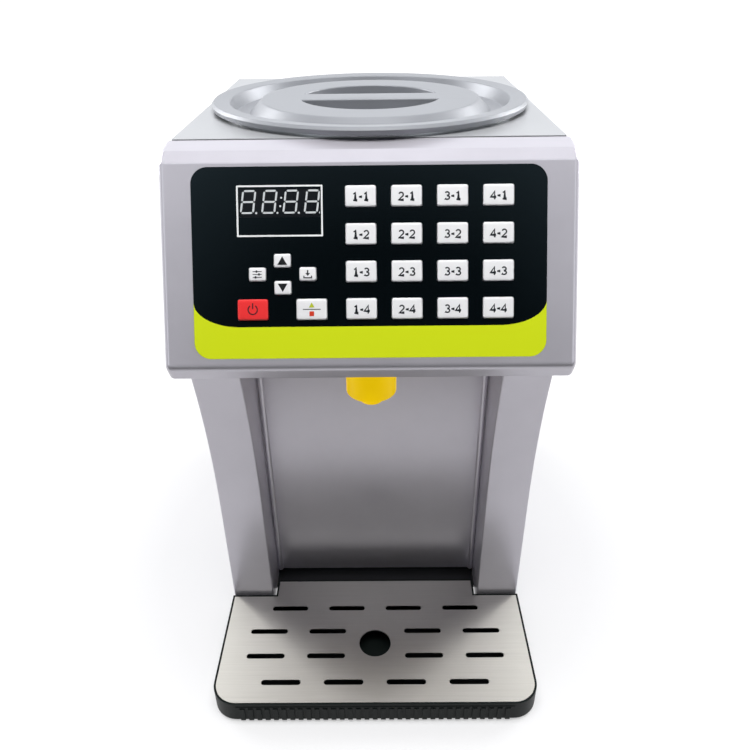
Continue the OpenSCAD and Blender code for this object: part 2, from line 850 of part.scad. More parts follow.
module temperature_sensor() {
    color("#d8d9db") translate([0, tank_y + sensor_back, tank_low_z - sensor_flange_t]) {
        cylinder(r = sensor_flange_r, h = sensor_flange_t);
        translate([0, 0, -sensor_len]) cylinder(r = sensor_r, h = sensor_len + eps);
    }
}

module suction_hose() {
    top_z = tank_low_z - fitting_nut_h;
    color("#dfe3e6") hose([
        [outlet_x, gear_y, top_z], [outlet_x, gear_y, port_z], [pump_x - pump_half_w, gear_y, port_z]
    ]);
}

module delivery_hose() {
    color("#dfe3e6") hose([
        [pump_x + pump_half_w, gear_y, port_z], [riser_x, gear_y, port_z], [riser_x, riser_y, port_z],
        [riser_x, riser_y, hose_z], [0, riser_y, hose_z], [0, -nozzle_front + holder_r + 2, hose_z]
    ]);
}

// ---- Pump ----

module pump_screw_places() {
    for (sx = [-1, 1], z = [pump_low + pump_screw_inset, pump_high - pump_screw_inset])
        translate([pump_x + sx * (pump_half_w - pump_screw_inset), bracket_y, z]) children();
}

module pump_body() {
    inner_r = gear_tip_r + run_gap;
    color("#6d7278") difference() {
        union() {
            translate([pump_x - pump_half_w, pump_front, pump_low])
                cube([2 * pump_half_w, cover_front - pump_front, pump_high - pump_low]);
            translate([pump_x - pump_half_w - barb_len, gear_y, port_z])
                rod_x(barb_r, 2 * (pump_half_w + barb_len));
        }
        for (z = [pump_z, idler_z]) {
            translate([pump_x, cover_front - gear_w, z]) rod_y(inner_r, gear_w + 1);
            translate([pump_x, cover_front - gear_w - shaft_blind, z])
                rod_y(shaft_r + run_gap, shaft_blind + 1);
        }
        translate([pump_x - pump_half_w - barb_len - 1, gear_y, port_z])
            rod_x(barb_bore_r, 2 * (pump_half_w + barb_len + 1));
        pump_screw_places() translate([0, -cover_t - screw_len, 0]) rod_y(screw_hole_r, screw_len + 1);
    }
}

module pump_cover() {
    color("#868b91") difference() {
        translate([pump_x - pump_half_w, cover_front, pump_low])
            cube([2 * pump_half_w, cover_t, pump_high - pump_low]);
        translate([pump_x, cover_front - 1, pump_z]) rod_y(shaft_r + run_gap, cover_t + 2);
        translate([pump_x, cover_front - 1, idler_z]) rod_y(shaft_r + run_gap, shaft_blind + 1);
        pump_screw_places() translate([0, -cover_t - 1, 0]) rod_y(screw_hole_r, cover_t + 2);
    }
}

// Involute gear outline with a tooth centred on +X
function rolled(a) = tan(a) * 180 / PI - a;
function tooth_half_angle(r) = let (base_r = gear_pitch_r * cos(pressure_angle))
    90 / gear_teeth - tooth_slack + rolled(pressure_angle) - rolled(acos(min(1, base_r / r)));
function flank_point(tooth, side, r, base_r) =
    let (a = 360 * tooth / gear_teeth + side * tooth_half_angle(max(r, base_r))) r * [cos(a), sin(a)];
module gear_outline() {
    base_r = gear_pitch_r * cos(pressure_angle);
    steps = 6;
    radii = concat([gear_root_r], [for (i = [0 : steps]) base_r + (gear_tip_r - base_r) * i / steps]);
    polygon([
        for (tooth = [0 : gear_teeth - 1]) each concat(
            [for (r = radii) flank_point(tooth, -1, r, base_r)],
            [for (i = [len(radii) - 1 : -1 : 0]) flank_point(tooth, 1, radii[i], base_r)]
        )
    ]);
}

// A gear on its shaft along Y, turned so that the pair is in mesh
module pump_gear(z, turn, shaft_end) {
    end_gap = 0.1;
    start_y = cover_front - gear_w - shaft_blind + end_gap;
    translate([pump_x, cover_front - end_gap, z]) rotate([90, 0, 0]) rotate(turn)
        linear_extrude(gear_w - 2 * end_gap) gear_outline();
    translate([pump_x, start_y, z]) rod_y(shaft_r, shaft_end - start_y);
}

module drive_gear() {
    color("#d9dbdd") pump_gear(pump_z, 90, motor_y + coupling_len);
}

module idler_gear() {
    color("#d9dbdd") pump_gear(idler_z, -90 + 180 / gear_teeth, cover_front + shaft_blind - 0.1);
}

module pump_bracket() {
    foot_l = 30;
    color("#9aa0a6") difference() {
        union() {
            translate([pump_x - pump_half_w, bracket_y, base_top])
                cube([2 * pump_half_w, bracket_t, pump_high - base_top]);
            translate([pump_x - pump_half_w, bracket_y, base_top])
                cube([2 * pump_half_w, foot_l, bracket_t]);
        }
        translate([pump_x, bracket_y - 1, pump_z]) rod_y(shaft_r + 1, bracket_t + 2);
        pump_screw_places() translate([0, -1, 0]) rod_y(screw_hole_r, bracket_t + 2);
    }
}

module pump_motor() {
    cap_len = 6;
    color("#3c4046") difference() {
        union() {
            translate([pump_x, motor_y, pump_z]) rod_y(motor_r, motor_len);
            translate([pump_x, motor_y + motor_len - eps, pump_z]) rod_y(motor_r / 2, cap_len);
        }
        translate([pump_x, motor_y - 1, pump_z]) rod_y(shaft_r + run_gap, coupling_len + 2);
    }
}

// ---- Mains side ----

module power_supply() {
    corner = [-side_in + supply_side_gap, cabinet_back - supply_rear_gap - supply_l, base_top];
    color("#b7babd") translate(corner) {
        cube([supply_w, supply_l, supply_h]);
        translate([supply_w / 2 - supply_lug, -supply_lug, 0])
            cube([2 * supply_lug, supply_lug + eps, sheet]);
    }
}

module power_inlet() {
    flange_y = cabinet_back;
    color("#1b1c1e") translate([inlet_x, 0, mains_z]) {
        difference() {
            union() {
                backwards(cabinet_back - inlet_depth, inlet_depth + eps)
                    square([inlet_w, inlet_h], center = true);
                backwards(flange_y, switch_flange_t)
                    rounded_rect(inlet_w + 2 * inlet_flange, inlet_h + 2 * inlet_flange, 2);
            }
            backwards(flange_y + switch_flange_t - socket_depth, socket_depth + 1)
                rounded_rect(socket_w, socket_h, 2);
        }
        for (p = [[-pin_x, -pin_rise], [pin_x, -pin_rise], [0, pin_rise]])
            translate([p[0] - pin_t / 2, flange_y + switch_flange_t - socket_depth - eps, p[1] - pin_w / 2])
                cube([pin_t, pin_len, pin_w]);
    }
}

module switch_frame() {
    cavity_h = rocker_h + 2.4;
    color("#1b1c1e") translate([switch_x, 0, mains_z]) difference() {
        union() {
            backwards(cabinet_back - switch_depth, switch_depth + eps)
                square([switch_w, switch_h], center = true);
            backwards(cabinet_back, switch_flange_t)
                rounded_rect(switch_w + 2 * switch_flange, switch_h + 2 * switch_flange, 1.2);
        }
        backwards(cabinet_back - 12, 14) square([rocker_w + 2 * body_gap, cavity_h], center = true);
        translate([-rocker_w / 2 - rocker_pin_reach - body_gap, rocker_pin_y, 0])
            rod_x(rocker_pin_r + run_gap, rocker_w + 2 * (rocker_pin_reach + body_gap));
    }
}

module rocker_switch() {
    face_y = cabinet_back + switch_flange_t + rocker_proud - rocker_pin_y;
    color("#c62a20") translate([switch_x, rocker_pin_y, mains_z]) rotate([-rocker_tilt, 0, 0]) {
        across(-rocker_w / 2, rocker_w) polygon([
            [-rocker_back, -rocker_h / 2 + rocker_taper], [face_y - rocker_edge, -rocker_h / 2],
            [face_y - rocker_waist, 0], [face_y - rocker_edge, rocker_h / 2],
            [-rocker_back, rocker_h / 2 - rocker_taper]
        ]);
        translate([-rocker_w / 2 - rocker_pin_reach, 0, 0])
            rod_x(rocker_pin_r, rocker_w + 2 * rocker_pin_reach);
    }
}

// ---- Lid ----

// Half of the lid's wall, as (radius, Z) points
module lid_wall() {
    rim_z = lid_top;
    rim_in_z = lid_top - lid_rim_fall;
    floor_z = lid_top - lid_groove_h;
    slope = lid_hat_base_r - lid_hat_r;
    polygon([
        [0, lid_hat_top], [lid_hat_r, lid_hat_top], [lid_hat_base_r, floor_z], [lid_groove_r, floor_z],
        [lid_rim_in_r, rim_in_z], [lid_r - lid_edge_r, rim_z], [lid_r, rim_z - lid_edge_r],
        [lid_r, rim_z - lid_skirt_h], [lid_r - lid_t, rim_z - lid_skirt_h],
        [lid_r - lid_t, rim_z - lid_t - 0.2],
        [lid_collar_r, rim_in_z - lid_t], [lid_collar_r, cabinet_h + tank_t + body_gap],
        [lid_rim_in_r + lid_t, cabinet_h + tank_t + body_gap], [lid_rim_in_r + lid_t, rim_in_z - lid_t],
        [lid_rim_in_r + 0.3, rim_in_z - lid_t], [lid_groove_r + lid_t - 0.4, floor_z - lid_t],
        [lid_hat_base_r - slope * 0.25, floor_z - lid_t], [lid_hat_r - lid_t, lid_hat_top - lid_t],
        [0, lid_hat_top - lid_t]
    ]);
}

// Half-moon outline of one finger pocket, made larger by grow
module pocket_outline(side, grow) {
    intersection() {
        circle(pocket_r + grow);
        translate([-pocket_r - grow, side > 0 ? grip_w / 2 - grow : -pocket_r - grow])
            square([2 * (pocket_r + grow), pocket_r + 2 * grow - grip_w / 2]);
    }
}

module lid() {
    pocket_z = lid_hat_top - pocket_h;
    color("#c6c8cc") translate([0, tank_y, 0]) difference() {
        union() {
            rotate_extrude() lid_wall();
            for (side = [-1, 1])
                translate([0, 0, pocket_z - lid_t]) linear_extrude(pocket_h + lid_t - eps)
                    pocket_outline(side, lid_t);
        }
        for (side = [-1, 1])
            translate([0, 0, pocket_z]) linear_extrude(pocket_h + 1) pocket_outline(side, 0);
    }
}

// ---- Drip tray ----

// Outline of the tray seen from above, made smaller all round by inset
module tray_outline(inset) {
    r = tray_corner_r - inset;
    half = tray_x - inset;
    front = -tray_front + rib_proud + inset;
    back = tray_shoulder_y - inset;
    tongue = tongue_x - inset;
    translate([-half, front + r]) square([2 * half, back - front - r]);
    translate([-half + r, front]) square([2 * (half - r), r + eps]);
    for (side = [-1, 1]) translate([side * (half - r), front + r]) circle(r);
    translate([-tongue, back - eps]) square([2 * tongue, tongue_len + eps]);
}

// A place along the tray's front edge, which turns round the corners
module rib_place(along) {
    straight = tray_x - tray_corner_r;
    turn = max(0, abs(along) - straight) / tray_corner_r * 180 / PI;
    translate([sign(along) * min(abs(along), straight), -tray_front + rib_proud + tray_corner_r, 0])
        rotate(sign(along) * turn) children();
}

module drip_tray() {
    seat_z = tray_h - grille_t;
    nub_r = 5;
    nub_front = 22;
    nub_rear = 12;
    nub_side = 24;
    color("#2b302f") {
        difference() {
            translate([0, 0, tray_floor_z]) linear_extrude(tray_h - tray_floor_z) tray_outline(0);
            translate([0, 0, tray_floor_z + tray_t])
                linear_extrude(tray_h) tray_outline(tray_t + ledge_w / 2);
            translate([0, 0, seat_z]) linear_extrude(tray_h) tray_outline(tray_t / 2);
        }
        for (i = [0 : rib_count - 1])
            rib_place((i - (rib_count - 1) / 2) * rib_pitch)
                translate([-rib_w / 2, -tray_corner_r - rib_proud, tray_floor_z])
                    cube([rib_w, rib_proud + rib_root, rib_top - tray_floor_z]);
        translate([-tray_x + tray_corner_r, -tray_front + rib_proud / 2, rib_top + 1])
            cube([2 * (tray_x - tray_corner_r), rib_proud, rib_edge_h]);
        for (side = [-1, 1])
            translate([side * peg_x, tray_shoulder_y - eps, peg_z]) rod_y(peg_r, tray_gap + wall + 2);
        for (sx = [-1, 1], y = [-tray_front + nub_front, tray_shoulder_y - nub_rear])
            translate([sx * (tray_x - nub_side), y, 0]) cylinder(r = nub_r, h = tray_floor_z + eps);
    }
}

// One round-ended slot along X
module slot() { rounded_rect(slot_len, slot_w, slot_w / 2 - eps); }

module drip_grille() {
    color("#c4c5c3") difference() {
        translate([0, 0, tray_h - grille_t]) linear_extrude(grille_t) tray_outline(tray_t / 2 + grille_gap);
        translate([0, 0, tray_h - grille_t - 1]) linear_extrude(grille_t + 2) {
            translate([0, slot_mid_y]) circle(finger_hole_r);
            for (side = [-1, 1], row = [-1.5 : 1 : 1.5], i = [0, 1])
                translate([side * (abs(row) > 1 ? slot_near_x : slot_far_x)[i],
                           slot_mid_y + row * slot_row_pitch])
                    slot();
        }
    }
}

// ---- Feet and fasteners ----

module rubber_feet() {
    inset = foot_r + 6;
    color("#1a1b1d") for (sx = [-1, 1], y = [-recess_front + inset, cabinet_back - inset])
        translate([sx * (side_in - inset), y, 0]) {
            cylinder(r = foot_r, h = foot_h - 1);
            translate([0, 0, foot_h - 1 - eps]) cylinder(r = foot_r + 1, h = 1 + eps);
        }
}

module machine_screws() {
    color("#b0b3b6") {
        for (side = [-1, 1], z = rear_screw_z)
            translate([side * rear_screw_x, cabinet_back, z]) rotate([90, 0, 0]) screw();
        on_face() for (side = [-1, 1], y = [board_screw_low, board_screw_high])
            translate([side * board_screw_x, y, -board_depth - board_t]) screw();
        pump_screw_places() translate([0, bracket_t, 0]) rotate([90, 0, 0]) screw();
    }
}

left_side_panel();
right_side_panel();
rear_cover();
base_plate();
top_plate();
left_pillar();
right_pillar();
recess_panel();
fascia();
head_floor();
control_overlay();
display_module();
control_board();
tact_switches();
nozzle();
nozzle_holder();
lid();
tank();
tank_collar();
heater_band();
temperature_sensor();
tank_outlet();
suction_hose();
delivery_hose();
pump_body();
pump_cover();
drive_gear();
idler_gear();
pump_motor();
pump_bracket();
power_supply();
power_inlet();
switch_frame();
rocker_switch();
drip_tray();
drip_grille();
rubber_feet();
machine_screws();
for (k = keys) color(k[0] == "key_power" ? "#f23a38" : "#d8d8da") key(k);
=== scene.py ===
import json
from math import asin, cos, degrees, pi, radians, sin, tan

import bmesh
import bpy
from mathutils import Matrix, Vector


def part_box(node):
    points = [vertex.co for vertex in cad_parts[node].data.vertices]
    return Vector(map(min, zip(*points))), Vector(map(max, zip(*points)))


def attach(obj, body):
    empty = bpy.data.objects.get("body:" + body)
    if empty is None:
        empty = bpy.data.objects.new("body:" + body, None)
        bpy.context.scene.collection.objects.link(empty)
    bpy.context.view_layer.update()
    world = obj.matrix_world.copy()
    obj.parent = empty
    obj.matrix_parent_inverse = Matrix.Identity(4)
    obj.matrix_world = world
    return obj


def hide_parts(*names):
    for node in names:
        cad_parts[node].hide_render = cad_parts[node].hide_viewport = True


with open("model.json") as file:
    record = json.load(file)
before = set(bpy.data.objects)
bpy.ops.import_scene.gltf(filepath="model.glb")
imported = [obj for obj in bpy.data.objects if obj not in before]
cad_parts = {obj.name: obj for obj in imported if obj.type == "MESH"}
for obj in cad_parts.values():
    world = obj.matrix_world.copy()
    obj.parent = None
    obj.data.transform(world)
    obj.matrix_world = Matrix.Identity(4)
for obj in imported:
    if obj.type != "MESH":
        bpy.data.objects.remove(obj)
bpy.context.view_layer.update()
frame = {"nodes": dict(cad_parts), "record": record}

# Lengths are given in millimetres, and times MM they are Blender's metres
MM = 0.001
SLOT_OF = {part["node"]: part["material_slot"] for part in frame["record"]["subparts"]}
BODIES = frame["record"]["behaviour"]["bodies"]
BODY_OF = {name: body for body, names in BODIES.items() for name in names}
CABINET = "cabinet"

# ---- The view of the photograph ----

PHOTO_SIZE = 750
CAMERA_PLACE = (5.892, -500.354, 489.129)
CAMERA_PITCH = radians(31.0411)
CAMERA_YAW = radians(-0.50224)
CAMERA_ROLL = radians(0.73817)
CAMERA_FOCAL_PX = 694.27
SENSOR_WIDTH = 36


def make_camera():
    """A camera where the photograph was taken, without depth of field."""
    forward = Vector((
        sin(CAMERA_YAW) * cos(CAMERA_PITCH), cos(CAMERA_YAW) * cos(CAMERA_PITCH), -sin(CAMERA_PITCH)
    ))
    level = Vector((cos(CAMERA_YAW), -sin(CAMERA_YAW), 0))
    down = forward.cross(level)
    right = cos(CAMERA_ROLL) * level + sin(CAMERA_ROLL) * down
    low = -sin(CAMERA_ROLL) * level + cos(CAMERA_ROLL) * down
    turned = Matrix((right, -low, -forward)).transposed().to_4x4()
    data = bpy.data.cameras.new("camera")
    data.sensor_width = SENSOR_WIDTH
    data.lens = CAMERA_FOCAL_PX * SENSOR_WIDTH / PHOTO_SIZE
    camera = bpy.data.objects.new("camera", data)
    camera.matrix_world = Matrix.Translation(Vector(CAMERA_PLACE) * MM) @ turned
    bpy.context.collection.objects.link(camera)
    bpy.context.scene.camera = camera


make_camera()

# ---- Materials ----


def linear(code):
    """The linear colour of an sRGB hex code such as "#a9a8ae", with alpha."""
    shares = [int(code[i : i + 2], 16) / 255 for i in (1, 3, 5)]
    return [s / 12.92 if s <= 0.04045 else ((s + 0.055) / 1.055) ** 2.4 for s in shares] + [1.0]


def add(tree, kind, links=None, **settings):
    """Adds a node. links gives its inputs a value, or another node's output to follow."""
    node = tree.nodes.new(kind)
    for name, value in settings.items():
        setattr(node, name, value)
    for name, value in (links or {}).items():
        if isinstance(value, bpy.types.NodeSocket):
            tree.links.new(value, node.inputs[name])
        else:
            node.inputs[name].default_value = value
    return node


def new_material(name, colour, **sockets):
    """A material whose shader has the plain values given, and its tree, shader and place nodes."""
    material = bpy.data.materials.new(name)
    material.use_nodes = True
    tree = material.node_tree
    shader = tree.nodes["Principled BSDF"]
    shader.inputs["Base Color"].default_value = linear(colour)
    for socket, value in sockets.items():
        shader.inputs[socket.replace("_", " ")].default_value = value
    place = add(tree, "ShaderNodeTexCoord").outputs["Object"]
    return material, tree, shader, place


def per_mm(size):
    """The texture scale at which a pattern's features are size millimetres wide."""
    return 1 / (size * MM)


GRAIN_DETAIL = 3.0
CLOUD_GRAINS = 40
CLOUD_DETAIL = 4.0


def varied(tree, shader, pattern, low, high, rough):
    """Makes the colour follow a pattern from one hex code to another, and the roughness too."""
    mix = add(tree, "ShaderNodeMix", {"Factor": pattern}, data_type="RGBA")
    mix.inputs["A"].default_value = linear(low)
    mix.inputs["B"].default_value = linear(high)
    tree.links.new(mix.outputs["Result"], shader.inputs["Base Color"])
    spread = add(tree, "ShaderNodeMapRange", {
        "Value": pattern, "To Min": rough[0], "To Max": rough[1]
    })
    tree.links.new(spread.outputs["Result"], shader.inputs["Roughness"])


def grained(material, tree, shader, place, grain, depth, low, high, rough):
    """Moulded grain: bumps grain millimetres wide and depth millimetres deep, and a colour and a
    roughness that wander over their ranges in clouds forty grains wide."""
    bumps = add(tree, "ShaderNodeTexNoise", {
        "Vector": place, "Scale": per_mm(grain), "Detail": GRAIN_DETAIL
    })
    bump = add(tree, "ShaderNodeBump", {
        "Height": bumps.outputs["Fac"], "Distance": depth * MM, "Strength": 1.0
    })
    tree.links.new(bump.outputs["Normal"], shader.inputs["Normal"])
    cloud = add(tree, "ShaderNodeTexNoise", {
        "Vector": place, "Scale": per_mm(grain * CLOUD_GRAINS), "Detail": CLOUD_DETAIL
    })
    varied(tree, shader, cloud.outputs["Fac"], low, high, rough)
    return material


def satin_silver_paint():
    """Pearl silver paint on ABS: a soft broad sheen with flakes too fine to see one by one."""
    made = new_material("satin_silver_paint", "#cfccd4", Metallic=0.5, IOR=1.46)
    return grained(*made, grain=0.5, depth=0.004, low="#cbc8d0", high="#d3d0d8", rough=(0.27, 0.32))


def powder_coat():
    """Grey powder coat on steel sheet: an even satin with a fine orange peel."""
    made = new_material("powder_coat", "#c3c4c8", Metallic=0.35)
    return grained(*made, grain=0.9, depth=0.01, low="#b2b4b7", high="#bbbcbf", rough=(0.26, 0.32))


def black_abs():
    """Black moulded ABS: a spark-eroded grain that breaks up its highlight."""
    made = new_material("black_abs", "#17181a")
    return grained(*made, grain=0.4, depth=0.02, low="#141517", high="#1b1c1f", rough=(0.5, 0.6))


def printed_film(name, low, high):
    """Polyester film printed on its back: a smooth gloss with a slight ripple of its adhesive."""
    made = new_material(name, low, Specular_Tint=linear("#c4e6f4"))
    return grained(*made, grain=9, depth=0.02, low=low, high=high, rough=(0.09, 0.13))


def smoked_acrylic():
    """The display's smoked acrylic filter: nearly black, with a silky surface."""
    made = new_material("smoked_acrylic", "#0a0e13")
    return grained(*made, grain=0.3, depth=0.002, low="#090d12", high="#0c1116", rough=(0.14, 0.2))


def solder_mask():
    """Green solder mask over copper: glossy, with a faint mottle."""
    made = new_material("solder_mask", "#1f6b46", Coat_Weight=0.4)
    return grained(*made, grain=1.2, depth=0.02, low="#195a3a", high="#267a51", rough=(0.25, 0.35))


def yellow_polypropylene():
    """Yellow moulded polypropylene: glossy, with a painted glow: it gives off a little yellow light so
    that it stays bright in the head's shade.
    """
    # The emission is painted light: a glow that lifts the nozzle out of the shade under the head
    made = new_material(
        "yellow_polypropylene", "#fcd400", Specular_IOR_Level=0.1, Emission_Color=linear("#f8cc00"),
        Emission_Strength=0.58,
    )
    return grained(*made, grain=2.5, depth=0.002, low="#fad000", high="#fed804", rough=(0.2, 0.26))


def natural_nylon():
    """Unpigmented nylon: off-white and waxy."""
    made = new_material("natural_nylon", "#e2e1dc", Subsurface_Weight=0.1, Subsurface_Scale=0.002)
    return grained(*made, grain=0.8, depth=0.01, low="#dedcd6", high="#e8e7e3", rough=(0.4, 0.5))


LINE_DETAIL = 6.0
LINE_CRISPNESS = 0.65
LINE_DEPTH = 0.01
LINE_SHARE = 0.6


def lined(material, tree, shader, place, line, reach, low, high, rough):
    """Fine lines along X: line millimetres wide and reach millimetres long."""
    stretch = add(tree, "ShaderNodeMapping", {"Vector": place, "Scale": (line / reach, 1.0, 1.0)})
    lines = add(tree, "ShaderNodeTexNoise", {
        "Vector": stretch.outputs["Vector"], "Scale": per_mm(line), "Detail": LINE_DETAIL,
        "Roughness": LINE_CRISPNESS,
    })
    bump = add(tree, "ShaderNodeBump", {
        "Height": lines.outputs["Fac"], "Distance": LINE_DEPTH * MM, "Strength": LINE_SHARE
    })
    tree.links.new(bump.outputs["Normal"], shader.inputs["Normal"])
    varied(tree, shader, lines.outputs["Fac"], low, high, rough)
    return material


def brushed_steel():
    """Brushed stainless sheet: fine lines along X, and mirrored shapes drawn out sideways."""
    made = new_material("brushed_steel", "#b2afa8", Metallic=1.0, Anisotropic=0.8)
    material, tree, shader = made[:3]
    lined(*made, line=0.35, reach=60, low="#b2afa8", high="#d2cfc8", rough=(0.36, 0.46))
    sideways = add(tree, "ShaderNodeCombineXYZ", {"X": 1.0})
    tree.links.new(sideways.outputs["Vector"], shader.inputs["Tangent"])
    return material


def drawn_steel():
    """Deep drawn stainless steel: a mirror blurred by fine drawing lines."""
    made = new_material("drawn_steel", "#b9bcc0", Metallic=1.0)
    return lined(*made, line=0.5, reach=12, low="#b9bcc0", high="#c6c9cc", rough=(0.2, 0.3))


def turned_aluminium():
    """Turned aluminium: pale, with fine lathe marks."""
    made = new_material("turned_aluminium", "#cfd0d2", Metallic=1.0)
    return lined(*made, line=0.3, reach=5, low="#cfd0d2", high="#dcdddf", rough=(0.25, 0.35))


def ground_steel():
    """Hobbed steel gears: bright, with grinding marks."""
    made = new_material("ground_steel", "#c8cacd", Metallic=1.0)
    return lined(*made, line=0.3, reach=4, low="#c8cacd", high="#d8dadc", rough=(0.18, 0.28))


def zinc_plating():
    """Bright zinc plating: slightly blue, with a soft spangle."""
    made = new_material("zinc_plating", "#a8abb0", Metallic=1.0)
    return lined(*made, line=1.5, reach=4, low="#a8abb0", high="#bcc0c4", rough=(0.3, 0.4))


def mill_aluminium():
    """Folded aluminium sheet: the dull finish that the rolling mill leaves."""
    made = new_material("mill_aluminium", "#b4b7ba", Metallic=1.0)
    return lined(*made, line=0.6, reach=30, low="#b4b7ba", high="#c3c5c8", rough=(0.35, 0.45))


def silicone_mat():
    """Vulcanised silicone mat: matt orange-red, pebbled by the glass cloth in it."""
    made = new_material("silicone_mat", "#b4472e")
    return grained(*made, grain=1.0, depth=0.05, low="#a63f28", high="#bf5236", rough=(0.6, 0.7))


def milky_silicone():
    """Food-grade silicone hose: milky, with a soft sheen."""
    made = new_material(
        "milky_silicone", "#dfe3e6", Transmission_Weight=0.35, Subsurface_Weight=0.2,
        Subsurface_Scale=0.002,
    )
    return grained(*made, grain=1.5, depth=0.01, low="#dbe0e3", high="#e5e9eb", rough=(0.35, 0.45))


def filled_nylon():
    """Glass-filled nylon pump moulding: mid grey with a dull, slightly mottled skin."""
    made = new_material("filled_nylon", "#6d7278")
    return grained(*made, grain=0.5, depth=0.02, low="#666b71", high="#777c82", rough=(0.5, 0.62))


def motor_enamel():
    """Dark enamel on a drawn steel can: semi-gloss."""
    made = new_material("motor_enamel", "#3c4046", Metallic=0.2)
    return grained(*made, grain=1.2, depth=0.01, low="#383c42", high="#42464c", rough=(0.3, 0.4))


def red_abs():
    """Signal red ABS key: an even semi-gloss."""
    made = new_material("red_abs", "#f8383a")
    return grained(*made, grain=0.6, depth=0.003, low="#f43537", high="#fb3e3f", rough=(0.3, 0.36))


def silver_lacquer():
    """Pale silver sprayed keycap under clear lacquer: a bright satin."""
    made = new_material("silver_lacquer", "#ececee", Metallic=0.05)
    return grained(*made, grain=0.5, depth=0.002, low="#f6f6f8", high="#fbfbfc", rough=(0.34, 0.4))


def lid_polypropylene():
    """Pearl grey moulded polypropylene: satin, cool, with faint flow marks of its mica."""
    made = new_material("lid_polypropylene", "#989a9f", Metallic=0.3)
    return grained(*made, grain=0.7, depth=0.006, low="#94969b", high="#9c9ea3", rough=(0.36, 0.42))


def tray_abs():
    """Dark grey ABS with a leathery spark-eroded grain."""
    made = new_material("tray_abs", "#121716", Specular_IOR_Level=0.14)
    return grained(*made, grain=0.45, depth=0.03, low="#0f1413", high="#161b1a", rough=(0.4, 0.5))


def foot_rubber():
    """Moulded black rubber: matt, with a dusting of wear."""
    made = new_material("foot_rubber", "#19191b")
    return grained(*made, grain=0.8, depth=0.03, low="#151517", high="#222224", rough=(0.75, 0.85))


def ink(name, low, high):
    """Screen-printed ink: matt, with a slight mottle from its mesh."""
    made = new_material(name, low)
    return grained(*made, grain=0.2, depth=0.001, low=low, high=high, rough=(0.42, 0.5))


FINISHES = {
    "body_abs": satin_silver_paint(),
    "painted_sheet": powder_coat(),
    "black_abs": black_abs(),
    "overlay_film": printed_film("black_polyester", "#04070a", "#091013"),
    "display_black": smoked_acrylic(),
    "circuit_board": solder_mask(),
    "yellow_plastic": yellow_polypropylene(),
    "white_plastic": natural_nylon(),
    "stainless_steel": drawn_steel(),
    "heater_silicone": silicone_mat(),
    "sensor_aluminium": turned_aluminium(),
    "hose_silicone": milky_silicone(),
    "pump_plastic": filled_nylon(),
    "gear_steel": ground_steel(),
    "motor_steel": motor_enamel(),
    "galvanised_steel": zinc_plating(),
    "supply_case": mill_aluminium(),
    "red_plastic": red_abs(),
    "key_plastic": silver_lacquer(),
    "lid_plastic": lid_polypropylene(),
    "tray_plastic": tray_abs(),
    "grille_steel": brushed_steel(),
    "foot_rubber": foot_rubber(),
}
LIME_FILM = printed_film("lime_polyester", "#dcec20", "#e0f024")
WHITE_INK = ink("white_ink", "#f4f6f6", "#f8fafa")
DARK_INK = ink("dark_ink", "#0a0e16", "#0c121a")
BLACK_INK = ink("black_ink", "#040507", "#060709")
GREEN_INK = ink("green_ink", "#b5c22b", "#bdca31")
RED_INK = ink("red_ink", "#d63f28", "#dc452c")
UNLIT_SEGMENT = ink("unlit_segment", "#d2d6d8", "#d6dadc")

for node_name, node in frame["nodes"].items():
    for material_slot in node.material_slots:
        material_slot.material = FINISHES[SLOT_OF[node_name]]

# ---- Making pieces ----

SAME_PLACE = 0.001
CAD_SAME_PLACE = 0.002
CAD_FLAT = radians(0.3)


def copied(name):
    """A CAD node's surface, merged, with its flat faces made whole."""
    bm = bmesh.new()
    bm.from_mesh(frame["nodes"][name].data)
    bmesh.ops.remove_doubles(bm, verts=bm.verts, dist=CAD_SAME_PLACE * MM)
    bmesh.ops.dissolve_limit(bm, angle_limit=CAD_FLAT, verts=bm.verts, edges=bm.edges)
    return bm


def merged(bm):
    """Joins the points of a bmesh that are in the same place."""
    bmesh.ops.remove_doubles(bm, verts=bm.verts, dist=SAME_PLACE * MM)


def middle(edge):
    """The middle of an edge, in millimetres."""
    return (edge.verts[0].co + edge.verts[1].co) / (2 * MM)


def span(edge):
    """How far an edge runs along X, Y and Z, in millimetres."""
    return (edge.verts[1].co - edge.verts[0].co) / MM


def piece(name, bm, body, slot, materials=None, replaces=(), crease=32):
    """Makes a bmesh an object that rides on a body, shaded smooth up to the crease angle."""
    for face in bm.faces:
        face.smooth = True
    for edge in bm.edges:
        edge.smooth = len(edge.link_faces) == 2 and edge.calc_face_angle(0) < radians(crease)
    mesh = bpy.data.meshes.new(name)
    bm.to_mesh(mesh)
    bm.free()
    for material in materials or [FINISHES[slot]]:
        mesh.materials.append(material)
    made = bpy.data.objects.new(name, mesh)
    bpy.context.collection.objects.link(made)
    weights = made.modifiers.new("even_shading", "WEIGHTED_NORMAL")
    weights.keep_sharp = True
    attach(made, body)
    if replaces:
        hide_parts(*replaces)


def cut(bm, cutter, kind="DIFFERENCE"):
    """The exact boolean of two surfaces, as a new bmesh. Both are used up."""
    solids = []
    for name, source in (("target", bm), ("cutter", cutter)):
        mesh = bpy.data.meshes.new(name)
        source.to_mesh(mesh)
        source.free()
        solids.append(bpy.data.objects.new(name, mesh))
        bpy.context.collection.objects.link(solids[-1])
    target, tool = solids
    step = target.modifiers.new("cut", "BOOLEAN")
    step.operation = kind
    step.solver = "EXACT"
    step.object = tool
    shaped = target.evaluated_get(bpy.context.evaluated_depsgraph_get()).to_mesh()
    made = bmesh.new()
    made.from_mesh(shaped)
    for solid in solids:
        data = solid.data
        bpy.data.objects.remove(solid)
        bpy.data.meshes.remove(data)
    merged(made)
    return made


